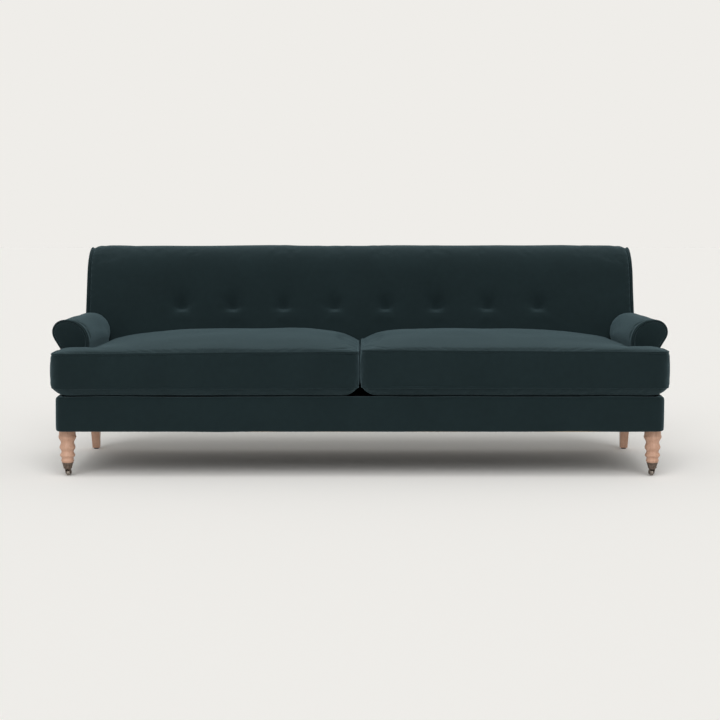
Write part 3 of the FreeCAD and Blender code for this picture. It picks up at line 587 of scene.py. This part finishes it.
def make_materials():
    return {
        "velvet": velvet("velvet"),
        "piping": velvet("velvet_piping"),
        "leg_wood": oak("limed_oak", (0.57, 0.350, 0.252), (0.405, 0.230, 0.152), 0.5),
        "frame_timber": timber("beech"),
        "bronze": metal("antique_bronze", (0.10, 0.075, 0.06), (0.22, 0.17, 0.14), 0.42, 0.0003),
        "wheel": metal("worn_bronze", (0.22, 0.19, 0.165), (0.36, 0.32, 0.28), 0.38, 0.0003),
        "spring_steel": metal("spring_wire", (0.25, 0.26, 0.28), (0.42, 0.43, 0.45), 0.35, 0.0002),
        "zinc_steel": metal("zinc_plate", (0.50, 0.51, 0.53), (0.70, 0.71, 0.72), 0.3, 0.0002),
        # Black decking cloth, made darker still so that the gap under the cushions shows as black:
        # partly the cloth's own colour, partly painted shade.
        "decking_cloth": cloth("decking", (0.004, 0.0045, 0.005), (0.012, 0.013, 0.014), 900.0,
                               0.0004, sheen=0.0),
        "hessian": cloth("hessian", (0.30, 0.22, 0.12), (0.62, 0.50, 0.33), 420.0, 0.0008),
        "webbing": cloth("webbing", (0.012, 0.012, 0.014), (0.06, 0.06, 0.065), 700.0, 0.0005),
        "wadding": cloth("wadding", (0.66, 0.65, 0.62), (0.86, 0.85, 0.81), 90.0, 0.0006),
        "twine": cloth("twine", (0.50, 0.45, 0.34), (0.80, 0.74, 0.62), 1500.0, 0.0003),
        "zip": plastic("zip_nylon", (0.012, 0.018, 0.020), (0.03, 0.045, 0.048), 0.45),
        "glide_plastic": plastic("glide_nylon", (0.02, 0.018, 0.016), (0.05, 0.045, 0.04), 0.4),
    }


# ======== cloth, seams and cords ========
def settle(obj, pinned, pressure, cap):
    """Runs a short cloth simulation under pressure with the seams held, and then brings back
    each point that moved further than its cap."""
    start = points_of(obj)
    group = obj.vertex_groups.new(name="seams")
    group.add([int(i) for i in np.nonzero(pinned)[0]], 1.0, "REPLACE")
    modifier = obj.modifiers.new("cloth", "CLOTH")
    cloth_settings = modifier.settings
    cloth_settings.quality = 4
    cloth_settings.mass = 0.3
    cloth_settings.tension_stiffness = 12
    cloth_settings.compression_stiffness = 12
    cloth_settings.shear_stiffness = 6
    cloth_settings.bending_stiffness = 0.6
    cloth_settings.use_pressure = True
    cloth_settings.uniform_pressure_force = pressure
    cloth_settings.shrink_min = -0.012
    cloth_settings.vertex_group_mass = "seams"
    cloth_settings.effector_weights.gravity = 0
    modifier.collision_settings.use_collision = False
    modifier.point_cache.frame_end = SETTLE_FRAMES
    scene = bpy.context.scene
    for number in range(1, SETTLE_FRAMES + 1):
        scene.frame_set(number)
    apply_modifiers(obj)
    scene.frame_set(1)
    move = points_of(obj) - start
    length = np.linalg.norm(move, axis=1)
    share = np.minimum(1, cap / np.maximum(length, 1e-9))
    put_points(obj, start + move * share[:, None])
    obj.vertex_groups.clear()


def pucker(obj, seam, depth, reach, seed, only=None):
    """Small gathers that run away from a seam and fade out."""
    co = points_of(obj)
    which, gap = nearest_on(seam, co)
    along = np.arange(len(seam)) * path_length(seam, False) / len(seam)
    ripple = waves(along, seed, 0.017) * 0.6 + waves(along, seed + 9, 0.041)
    lift = ripple[which] * depth * np.exp(-gap / reach) * np.clip(gap / PIPE_RADIUS - 0.6, 0, 1)
    if only is not None:
        lift = lift * only
    put_points(obj, co + normals_of(obj) * lift[:, None])


def drift(obj, depth, step, seed, where=1.0):
    """The slow unevenness of a hand-filled surface."""
    co = points_of(obj)
    put_points(obj, co + normals_of(obj) * (cloudy(co, seed, step) * depth * where)[:, None])


def cord_line(node, point, normal):
    """The centre line of a piping cord that lies in one plane, from the plane's cut through it."""
    loops = section(node, point, normal)
    axis = int(np.argmax(np.abs(normal)))
    if len(loops) > 1 and path_length(loops[1], True) > 0.5 * path_length(loops[0], True):
        count = int(path_length(loops[0], True) / CORD_STEP)
        outer = resample(loops[0], count, True)
        inner = resample(loops[1], count * 4, True)
        which, _ = nearest_on(inner, outer)
        centre = (outer + inner[which]) / 2
        centre[:, axis] = point[axis]
        return even_out(centre, 3, True), True
    loop = loops[0]
    low = loop[:, 2] < loop[:, 2].min() + PIPE_RADIUS / 4
    cap = low & np.roll(low, -1)
    first = int(np.nonzero(cap & ~np.roll(cap, -1))[0][0]) + 1
    loop, cap = np.roll(loop, -first, 0), np.roll(cap, -first)
    turn = int(np.nonzero(cap)[0][0])
    again = int(np.nonzero(cap[turn:] & ~np.roll(cap, -1)[turn:])[0][0]) + turn + 1
    one, other = loop[:turn + 1], loop[again:][::-1]
    count = int(path_length(one, False) / CORD_STEP)
    centre = (resample(one, count, False) + resample(other, count, False)) / 2
    return centre, False


def make_cord(name, path, closed, body, node, seed):
    """A fabric-covered cord along a path, slightly uneven in its run and its thickness."""
    count = len(path)
    tangent = (np.roll(path, -1, 0) - np.roll(path, 1, 0))
    if not closed:
        tangent[0], tangent[-1] = path[1] - path[0], path[-1] - path[-2]
    tangent /= np.linalg.norm(tangent, axis=1)[:, None]
    flat = np.ptp(path, axis=0)
    binormal = np.zeros(3)
    binormal[int(np.argmin(flat))] = 1
    side = np.cross(tangent, binormal)
    side /= np.linalg.norm(side, axis=1)[:, None]
    along = np.arange(count) * CORD_STEP
    sway = waves(along, seed, 0.09) * CORD_SWAY
    lift = waves(along, seed + 5, 0.13) * CORD_SWAY
    if closed:
        fade = np.minimum(1, np.minimum(np.arange(count), count - 1 - np.arange(count)) / 12)
        sway, lift = sway * fade, lift * fade
    centre = path + side * sway[:, None] + binormal * lift[:, None]
    points = []
    for i in range(count):
        for k in range(CORD_SIDES):
            turn = 2 * math.pi * k / CORD_SIDES
            spot = Vector((along[i] / 0.007 + turn * 1.3, seed, math.sin(turn)))
            reach = PIPE_RADIUS * (1 + CORD_SWELL * noise.noise(spot))
            outward = side[i] * math.cos(turn) + binormal * math.sin(turn)
            points.append(centre[i] + outward * reach)
    faces = []
    last = count if closed else count - 1
    for i in range(last):
        a, b = i * CORD_SIDES, (i + 1) % count * CORD_SIDES
        for k in range(CORD_SIDES):
            n = (k + 1) % CORD_SIDES
            faces.append((a + k, a + n, b + n, b + k))
    if not closed:
        faces.append(tuple(range(CORD_SIDES))[::-1])
        faces.append(tuple(range((count - 1) * CORD_SIDES, count * CORD_SIDES)))
    obj = new_object(name, points, faces)
    made = bmesh.new()
    made.from_mesh(obj.data)
    bmesh.ops.recalc_face_normals(made, faces=made.faces)
    made.to_mesh(obj.data)
    made.free()
    return dress(obj, MATERIALS["piping"], body, [node])


# ======== seat cushions ========
def inside(points, loop):
    """Which XY points lie inside a closed loop."""
    hit = np.zeros(len(points), bool)
    x, y = points[:, 0], points[:, 1]
    for a, b in zip(loop, np.roll(loop, -1, 0)):
        spans = (a[1] > y) != (b[1] > y)
        if spans.any():
            cross = a[0] + (y - a[1]) * (b[0] - a[0]) / ((b[1] - a[1]) or 1e-12)
            hit ^= spans & (x < cross)
    return hit


def crown(co, outline, gap, height):
    """How high the top panel stands above its seam: it climbs from the front towards the back,
    quickly beside the other cushion and slowly beside the arm."""
    front, back = outline[:, 1].min(), outline[:, 1].max()
    across = np.abs(outline[:, 0])
    level = (outline[:, 1] > front + 0.03) & (outline[:, 1] < back - 0.03)
    _, to_arm = nearest_on(outline[level & (across > across.mean())][:, :2], co[:, :2])
    _, to_middle = nearest_on(outline[level & (across < across.mean())][:, :2], co[:, :2])
    climb = 1 - (1 - np.clip((co[:, 1] - front) / (0.88 * (back - front)), 0, 1)) ** 2.1
    fall = 1 - (1 - np.clip((back - co[:, 1]) / 0.075, 0, 1)) ** 2.5
    width = (1 - np.exp(-to_arm / ARM_RAMP)) * (1 - np.exp(-to_middle / GAP_RAMP))
    whole = climb * fall * width
    roll = 1 - np.exp(-gap / 0.020)
    return EDGE_ROLL * roll + (height - EDGE_ROLL) * whole / whole.max()


def fill_unevenly(co, side, floor_z, seam_z):
    """No two cushions are filled alike. The seams of each one climb from the arm to the middle,
    and its ears are packed out a little in front of the arms."""
    inner, outer = SEAM_LIFT[side]
    out = np.clip((np.abs(co[:, 0]) - 0.15) / 0.95, 0, 1)
    share = np.clip((co[:, 2] - floor_z) / (seam_z - floor_z), 0, 1)
    share *= 1 - np.clip((co[:, 2] - seam_z) / 0.055, 0, 1)
    ahead = np.clip((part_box("arm_facing_" + side)[0].y + 0.01 - co[:, 1]) / 0.03, 0, 1)
    ear = np.clip((np.abs(co[:, 0]) - 1.04) / 0.07, 0, 1) * ahead
    lift = (inner + (outer - inner) * out) * share
    return np.stack([SIDES[side] * EAR_STRETCH * ear, 0 * ear, lift], 1)


def make_cushion(side):
    body = "cushion_" + side
    cover = "seat_cushion_cover_" + side
    core = "seat_cushion_core_" + side
    cord = "seat_cushion_piping_" + side
    low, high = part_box(cord)
    seam_low = low.z + PIPE_RADIUS
    seam_high = high.z - PIPE_RADIUS
    floor_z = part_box(cover)[0].z
    seams = []
    for z, label, seed in ((seam_low, "bottom", 3), (seam_high, "top", 4)):
        path, closed = cord_line(cord, (0, 0, z), (0, 0, 1))
        laid = path + fill_unevenly(path, side, floor_z, seam_high)
        name = f"cushion_piping_{label}_{side}"
        make_cord(name, laid, closed, body, cord, seed + 10 * SIDES[side])
        seams.append(path)
    obj = joined("seat_cushion_" + side, [cover, core, cord])
    remesh(obj, voxel(CUSHION_VOXEL, QUICK_CUSHION_COARSER))
    co = points_of(obj)
    outline = seams[1]
    _, gap = nearest_on(outline * [1, 1, 0], co * [1, 1, 0])
    top = co[:, 2] > seam_high + PIPE_RADIUS * 0.4
    bottom = co[:, 2] < seam_low - PIPE_RADIUS * 0.4
    rise = crown(co, outline, gap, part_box(cover)[1].z - seam_high)
    co[top, 2] = seam_high + rise[top]
    drop = 1 - (1 - np.clip(gap / UNDER_ROUND, 0, 1)) ** 2.2
    under = seam_low - PIPE_RADIUS * 0.5
    co[bottom, 2] = under - (under - floor_z - 0.0003) * drop[bottom]
    put_points(obj, co)
    soften(obj, 3)
    co = points_of(obj)
    normal = normals_of(obj)
    share = np.clip((co[:, 2] - seam_low) / (seam_high - seam_low), 0, 1)
    ahead = co[:, 1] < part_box("arm_facing_" + side)[0].y
    proud = np.where(ahead, BORDER_BULGE_FRONT, BORDER_BULGE_SIDE)
    proud = np.where(co[:, 1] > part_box(cover)[1].y - 0.03, BORDER_BULGE_REAR, proud)
    bulge = np.sin(math.pi * share) * proud * (1 - np.abs(normal[:, 2]))
    put_points(obj, co + normal * bulge[:, None])
    co = points_of(obj)
    near_seam = np.minimum(nearest_on(seams[0], co)[1], nearest_on(seams[1], co)[1])
    flat_under = co[:, 2] < floor_z + 0.004
    top_cap, front_cap, side_cap = CUSHION_CAPS
    cap = np.where(co[:, 2] > seam_high, top_cap, np.where(ahead, front_cap, side_cap))
    settle(obj, (near_seam < SEAM_PIN) | flat_under, CUSHION_PRESSURE, cap)
    subdivide(obj)
    co = points_of(obj)
    over = co[:, 2] > seam_high
    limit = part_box(cover)[1].z
    tall = co[over, 2].max()
    co[over, 2] = seam_high + (co[over, 2] - seam_high) * (limit - seam_high) / (tall - seam_high)
    co[:, 2] = np.maximum(co[:, 2], floor_z)
    put_points(obj, co)
    resting = np.clip((co[:, 2] - floor_z) / 0.01, 0, 1)
    drift(obj, 0.0016, 0.16, 2 + SIDES[side], resting)
    pucker(obj, seams[1], 0.0014, 0.030, 21 + SIDES[side], resting)
    pucker(obj, seams[0], 0.0012, 0.026, 31 + SIDES[side], resting)
    co = points_of(obj)
    put_points(obj, co + fill_unevenly(co, side, floor_z, seam_high))
    dress(obj, MATERIALS["velvet"], body, [cover, core])


# ======== back ========
def droop(co):
    """The back's top edge falls a little towards its corners. Gives the drop at each point."""
    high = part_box("back_pad")[1]
    across = np.abs(co[:, 0])
    slow = np.clip((across - 0.70) / 0.33, 0, 1)
    fast = np.clip((across - high.x + 0.045) / 0.055, 0, 1)
    up = np.clip((co[:, 2] - high.z + 0.16) / 0.16, 0, 1)
    return (SLOW_DROOP * slow ** 2 + CORNER_DROOP * fast ** 1.6) * up ** 1.5


def recline(co):
    """How far the top of the back leans to the rear: the padding is drawn over the top in one
    long round, and its crest lies close to the rear edge. Gives the shift in Y."""
    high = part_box("back_pad")[1]
    rear = high.y
    middle, level = rear - ROLL_RADIUS, high.z - ROLL_RADIUS
    z = np.clip(co[:, 2], level, high.z)
    half = np.sqrt(np.maximum(ROLL_RADIUS ** 2 - (z - level) ** 2, 0))
    plane = middle - ROLL_RADIUS / math.cos(BACK_LEAN) + (co[:, 2] - level) * math.tan(BACK_LEAN)
    tangent = level + ROLL_RADIUS * math.sin(BACK_LEAN)
    front = np.where(co[:, 2] > tangent, middle - half, plane)
    crest = rear - CREST_SETBACK
    base = high.z - LONG_ROUND
    rise = np.clip(co[:, 2] - base, 0, LONG_ROUND)
    round_front = crest - np.sqrt(np.maximum(LONG_ROUND ** 2 - rise ** 2, 0))
    start = base + LONG_ROUND * math.sin(BACK_LEAN)
    new_front = np.where(co[:, 2] > start, np.maximum(front, round_front), front)
    new_rear = crest + half * CREST_SETBACK / ROLL_RADIUS
    share = np.clip((co[:, 1] - front) / np.maximum(middle + half - front, 1e-6), 0, 1)
    shift = (new_front - front) * (1 - share) + (new_rear - middle - half) * share
    return np.where(co[:, 2] > start, shift, 0)


def shape_top(co):
    """The back's points with the long round and the low corners."""
    out = co.copy()
    out[:, 1] += recline(co)
    out[:, 2] -= droop(co)
    return out


def button_row():
    """The middle of each tuft on the back's face, and the face's normal."""
    low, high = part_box("back_buttons")
    normal = np.array([0, -math.cos(BACK_LEAN), math.sin(BACK_LEAN)])
    middle = np.array([0, (low.y + high.y) / 2, (low.z + high.z) / 2])
    return np.array([middle + [x, 0, 0] for x in button_columns()]), normal


def make_back():
    parts = ["back_pad", "back_posts", "back_uprights", "back_top_rail", "back_tuck_rail",
             "outside_back_panel"]
    obj = joined("back_cushion", parts)
    remesh(obj, voxel(BACK_VOXEL, QUICK_COARSER))
    soften(obj, 3)
    pad_low, pad_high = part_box("back_pad")
    row, normal = button_row()
    co = points_of(obj)
    which, gap = nearest_on(row, co)
    level = (co - row[which]) @ normal
    front = normals_of(obj) @ normal > 0.1
    ring = front & (gap > TUFT_REACH) & (gap < TUFT_REACH + 0.02)
    face = level[ring].mean()
    near = front & (gap < TUFT_REACH)
    co[near] += normal * (face - level[near])[:, None]
    put_points(obj, co)
    edge = (pad_high.x - np.abs(co[:, 0])) < 0.014
    foot = co[:, 2] < pad_low.z + 0.02
    rear = normals_of(obj)[:, 1] > 0.5
    settle(obj, edge | foot | rear, BACK_PRESSURE, np.full(len(co), BACK_CAP))
    subdivide(obj)
    tuft(obj, row, normal, face)
    drift(obj, 0.0016, 0.22, 8)
    co = shape_top(points_of(obj))
    covered = np.clip((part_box("outside_back_panel")[1].z - co[:, 2]) / 0.012, 0, 1)
    co[:, 1] -= REAR_SINK * covered * np.clip((normals_of(obj)[:, 1] - 0.3) / 0.3, 0, 1)
    put_points(obj, co)
    dress(obj, MATERIALS["velvet"], "frame", ["back_pad"])


def tuft(obj, row, normal, face):
    """Each button pulls a pocket into the face: it deepens slowly from above and ends at a firm
    lip below, where the padding swells forward. Fine folds run away from it."""
    co = points_of(obj)
    upward = np.cross([1, 0, 0], -normal)
    which, gap = nearest_on(row, co)
    away = co - row[which]
    u, v = away[:, 0], away @ upward
    front = np.clip(normals_of(obj) @ normal * 3, 0, 1) * (away @ normal > face - 0.03)
    below = -v
    depth = np.where(below > 0, np.clip(1 - below / 0.022, 0, 1) ** 1.2,
                     np.exp(-np.abs(below / 0.036) ** 1.8))
    pocket = np.exp(-np.abs(u / 0.029) ** 2.4) * depth
    hollow = np.exp(-(u / 0.066) ** 2) * np.exp(-((v - 0.024) / 0.050) ** 2)
    lip = np.exp(-np.abs(u / 0.036) ** 2.6) * np.exp(-((v + 0.040) / 0.020) ** 2)
    around = np.arctan2(v, u)
    folds = np.cos(around * 6 + which * 1.7) * np.exp(-((gap - 0.050) / 0.018) ** 2)
    push = lip * LIP_RISE + folds * FOLD_HEIGHT
    push -= pocket * (POCKET_DEPTH - HOLLOW_DEPTH) + hollow * HOLLOW_DEPTH
    put_points(obj, co + normal * (push * front)[:, None])


def button_columns():
    """X of each button, from the buttons' own solids."""
    xs = np.sort(points_of(CAD["back_buttons"])[:, 0])
    breaks = np.nonzero(np.diff(xs) > BUTTON_RADIUS)[0]
    starts = np.concatenate([[0], breaks + 1])
    ends = np.concatenate([breaks + 1, [len(xs)]])
    return [(xs[a] + xs[b - 1]) / 2 for a, b in zip(starts, ends)]


def make_buttons():
    """Covered buttons: a domed disc with a turned-in edge and small pleats round the rim."""
    row, out = button_row()
    normal = Vector(out)
    across = Vector((1, 0, 0))
    upward = normal.cross(across)
    profile = [(0.0, 0.0028), (0.25, 0.0027), (0.5, 0.0024), (0.72, 0.0018), (0.88, 0.0009),
               (0.98, -0.0004), (1.0, -0.0018), (0.93, -0.0032), (0.8, -0.0038)]
    turns = 48
    points = []
    faces = []
    for spot in row:
        base = len(points)
        centre = Vector(spot) - normal * BUTTON_SINK
        for ring, (share, height) in enumerate(profile):
            for k in range(turns):
                angle = 2 * math.pi * k / turns
                pleat = 1 + 0.012 * math.cos(angle * 12) * (ring > 3)
                reach = BUTTON_RADIUS * share * pleat
                points.append(centre + across * math.cos(angle) * reach
                              + upward * math.sin(angle) * reach + normal * height)
        for ring in range(len(profile) - 1):
            for k in range(turns):
                n = (k + 1) % turns
                a, b = base + ring * turns, base + (ring + 1) * turns
                faces.append((a + k, b + k, b + n, a + n))
        faces.append(tuple(base + (len(profile) - 1) * turns + k for k in range(turns)))
    obj = new_object("covered_buttons", points, faces)
    made = bmesh.new()
    made.from_mesh(obj.data)
    bmesh.ops.remove_doubles(made, verts=made.verts, dist=MERGE_GAP)
    bmesh.ops.recalc_face_normals(made, faces=made.faces)
    made.to_mesh(obj.data)
    made.free()
    dress(obj, MATERIALS["velvet"], "frame", ["back_buttons"])


def make_ties():
    """The twine behind each button, with its front end kept behind the sunken button."""
    obj = joined("button_ties", ["back_button_ties"])
    co = points_of(obj)
    co[co[:, 1] < co[:, 1].min() + 0.012, 1] += TIE_SHORTER
    put_points(obj, co)
    dress(obj, MATERIALS["twine"], "frame", ["back_button_ties"])


def make_back_sides():
    """The padded ends of the back, drawn back to their welts at the rear, and the welts."""
    for side, sign in SIDES.items():
        node = "back_side_panel_" + side
        cord = "back_piping_" + side
        low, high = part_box(cord)
        path, closed = cord_line(cord, ((low.x + high.x) / 2, 0, 0), (1, 0, 0))
        path = shape_top(path)
        rear = path[(path[:, 1] > high.y - 0.075) & (path[:, 2] < high.z - 0.06)]
        rear = rear[np.argsort(rear[:, 2])]
        obj = joined("back_side_" + side, [node])
        remesh(obj, PANEL_VOXEL * SIDE_PANEL_COARSER)
        soften(obj, 3)
        drift(obj, 0.0008, 0.12, 14 + sign)
        co = shape_top(points_of(obj))
        normal = normals_of(obj)
        co[:, 1:] += SIDE_PANEL_SWELL * np.clip(normal[:, 1:], 0, 1)
        to_welt = np.clip(np.interp(co[:, 2], rear[:, 2], rear[:, 1]) - co[:, 1], 0, 0.03)
        co[:, 1] += to_welt * np.clip(normal[:, 1] * 2, 0, 1) * (co[:, 2] < rear[-1, 2])
        put_points(obj, co)
        dress(obj, MATERIALS["velvet"], "frame", [node])
        make_cord("back_welt_" + side, path, closed, "frame", cord, 40 + sign)


def make_outside_back():
    """The cloth of the outside back is drawn out to the welts, over the ends of the side panels."""
    obj = joined("outside_back", ["outside_back_panel"])
    remesh(obj, PANEL_VOXEL)
    soften(obj, 2)
    drift(obj, 0.0008, 0.25, 17)
    co = points_of(obj)
    across = np.abs(co[:, 0])
    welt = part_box("back_piping_right")[0]
    edge = across[co[:, 2] > welt.z + 0.03].max()
    reach = welt.x + 0.001
    drawn = across + (reach - edge) * np.clip((across - edge + PANEL_EDGE) / PANEL_RAMP, 0, 1)
    drawn = np.maximum(across, np.minimum(drawn, reach))
    lower = across + 0.004 * np.clip((across - across.max() + PANEL_EDGE) / PANEL_RAMP, 0, 1)
    co[:, 0] = np.sign(co[:, 0]) * np.where(co[:, 2] > welt.z, drawn, lower)
    put_points(obj, co)
    dress(obj, MATERIALS["velvet"], "frame", ["outside_back_panel"])


# ======== arms ========
def make_arm(side):
    sign = SIDES[side]
    parts = ["arm_pad_" + side, "arm_stumps", "arm_top_rails", "arm_tuck_rails"]
    obj = joined("arm_" + side, parts, sign)
    remesh(obj, voxel(ARM_VOXEL, QUICK_COARSER))
    soften(obj, 4)
    low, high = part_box("arm_pad_" + side)
    co = points_of(obj)
    ends = (co[:, 1] < low.y + 0.012) | (co[:, 1] > high.y - 0.02) | (co[:, 2] < low.z + 0.02)
    outer = np.abs(co[:, 0]) > max(abs(low.x), abs(high.x)) - 0.075
    hollow = outer & (co[:, 2] < high.z - 0.09)
    settle(obj, ends | hollow, ARM_PRESSURE, np.full(len(co), ARM_CAP))
    subdivide(obj)
    drift(obj, 0.0013, 0.15, 22 + sign)
    co, normal = points_of(obj), normals_of(obj)
    above = np.clip((co[:, 2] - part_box("seat_cushion_piping_" + side)[1].z) / 0.02, 0, 1)
    inward = np.clip(-sign * normal[:, 0], 0, 1)
    put_points(obj, co + normal * (ARM_SWELL * above * inward)[:, None])
    co, normal = points_of(obj), normals_of(obj)
    end = np.clip((low.y + 0.014 - co[:, 1]) / 0.012, 0, 1)
    put_points(obj, co + normal * (ARM_END_SWELL * end)[:, None])
    dress(obj, MATERIALS["velvet"], "frame", ["arm_pad_" + side])


def make_facing(side):
    sign = SIDES[side]
    node = "arm_facing_" + side
    cord = "arm_facing_piping_" + side
    low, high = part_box(cord)
    path, closed = cord_line(cord, (0, (low.y + high.y) / 2, 0), (0, 1, 0))
    make_cord("arm_welt_" + side, path, closed, "frame", cord, 50 + sign)
    obj = joined("arm_front_" + side, [node])
    remesh(obj, FACING_VOXEL)
    soften(obj, 3)
    co = points_of(obj)
    _, gap = nearest_on(path, co)
    dome = (1 - (1 - np.clip((gap - 0.006) / 0.035, 0, 1)) ** 2) * FACING_DOME
    facing = np.clip(-normals_of(obj)[:, 1], 0, 1)
    co[:, 1] -= dome * facing
    put_points(obj, co)
    pucker(obj, path, 0.0007, 0.018, 60 + sign, facing)
    dress(obj, MATERIALS["velvet"], "frame", [node])


def make_outside_arms():
    obj = joined("outside_arms", ["outside_arm_panels"])
    remesh(obj, OUTSIDE_ARM_VOXEL)
    soften(obj, 2)
    drift(obj, 0.0007, 0.15, 27)
    dress(obj, MATERIALS["velvet"], "frame", ["outside_arm_panels"])


# ======== base and deck ========
def make_border():
    for name, node in (("base_front", "base_border_front"), ("base_sides", "base_border_sides")):
        obj = joined(name, [node])
        remesh(obj, BORDER_VOXEL)
        soften(obj, 3)
        drift(obj, 0.0012, 0.18, 33)
        subdivide(obj)
        dress(obj, MATERIALS["velvet"], "frame", [node])


def taut_sheet(name, node, step, sag, seed, slot):
    """A thin level sheet inside a CAD sheet's own outline, with a slight sag and its thickness."""
    low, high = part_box(node)
    middle = (low.z + high.z) / 2
    outline = section(node, (0, 0, middle), (0, 0, 1))[0]
    xs = np.arange(low.x + step / 2, high.x, step)
    ys = np.arange(low.y + step / 2, high.y, step)
    centres = np.stack(np.meshgrid(xs, ys, indexing="ij"), -1)
    kept = inside(centres.reshape(-1, 2), outline).reshape(len(xs), len(ys))
    number = {}
    points = []
    faces = []

    def corner(i, j):
        if (i, j) not in number:
            number[i, j] = len(points)
            points.append((xs[0] - step / 2 + i * step, ys[0] - step / 2 + j * step, high.z))
        return number[i, j]
    for i, j in zip(*np.nonzero(kept)):
        faces.append((corner(i, j), corner(i + 1, j), corner(i + 1, j + 1), corner(i, j + 1)))
    obj = new_object(name, points, faces)
    made = bmesh.new()
    made.from_mesh(obj.data)
    rim = np.array([v.is_boundary for v in made.verts])
    made.free()
    co = points_of(obj)
    line = resample(outline, int(path_length(outline, True) / (step / 4)), True)
    which, gap = nearest_on(line * [1, 1, 0], co * [1, 1, 0])
    near = rim & (gap < step)
    co[near, :2] = line[which[near], :2]
    hang = np.clip(gap / 0.08, 0, 1)
    co[:, 2] -= sag * hang * (0.5 + 0.5 * cloudy(co, seed, 0.12))
    put_points(obj, co)
    modifier = obj.modifiers.new("thickness", "SOLIDIFY")
    modifier.thickness = high.z - low.z
    modifier.offset = -1
    apply_modifiers(obj)
    ring = np.roll(outline, -1, 0)
    area = abs((outline[:, 0] * ring[:, 1] - ring[:, 0] * outline[:, 1]).sum()) / 2
    dress(obj, MATERIALS[slot], "frame", [node])


def make_deck():
    # Both cloths use the black decking colour, darkened further as painted shade for the gap under
    # the cushions.
    taut_sheet("deck_cloth", "deck_cover", 0.014, 0.0012, 71, "decking_cloth")
    taut_sheet("dust_cloth", "dust_cover", 0.020, 0.004, 72, "decking_cloth")
    for name, node, slot, inset in (("deck_wadding", "deck_pad", "wadding", 0.0035),
                                    ("lip_roll", "front_lip_roll", "velvet", 0.003)):
        obj = joined(name, [node])
        remesh(obj, DECK_VOXEL)
        soften(obj, 2)
        put_points(obj, points_of(obj) - normals_of(obj) * inset)
        drift(obj, 0.0010, 0.05, 75)
        dress(obj, MATERIALS[slot], "frame", [node])


# ======== finishing the CAD nodes ========
FINISHES = {
    "frame_timber": ["base_front_rail", "base_rear_rail", "base_side_rails", "base_cross_braces",
                     "corner_blocks", "back_posts", "back_top_rail", "back_tuck_rail",
                     "back_uprights", "arm_stumps", "arm_top_rails", "arm_tuck_rails"],
    "leg_wood": ["front_leg_left", "front_leg_right", "rear_legs"],
    "bronze": ["castor_cups", "castor_horn_left", "castor_horn_right", "castor_axle_left",
               "castor_axle_right"],
    "wheel": ["castor_wheel_left", "castor_wheel_right"],
    "spring_steel": ["seat_springs"],
    "zinc_steel": ["spring_clips", "leg_studs", "tee_nuts", "castor_cup_screws"],
    "hessian": ["deck_hessian"],
    "webbing": ["back_webbing"],
    "zip": ["seat_cushion_zip_left", "seat_cushion_zip_right"],
    "glide_plastic": ["rear_glides"],
}


def finish_cad():
    for finish, nodes in FINISHES.items():
        for node in nodes:
            CAD[node].data.materials.clear()
            CAD[node].data.materials.append(MATERIALS[finish])


make_camera()
make_light()
make_floor()
MATERIALS = make_materials()
finish_cad()
for which_side in SIDES:
    make_cushion(which_side)
    make_arm(which_side)
    make_facing(which_side)
make_back()
make_buttons()
make_ties()
make_back_sides()
make_outside_back()
make_outside_arms()
make_border()
make_deck()
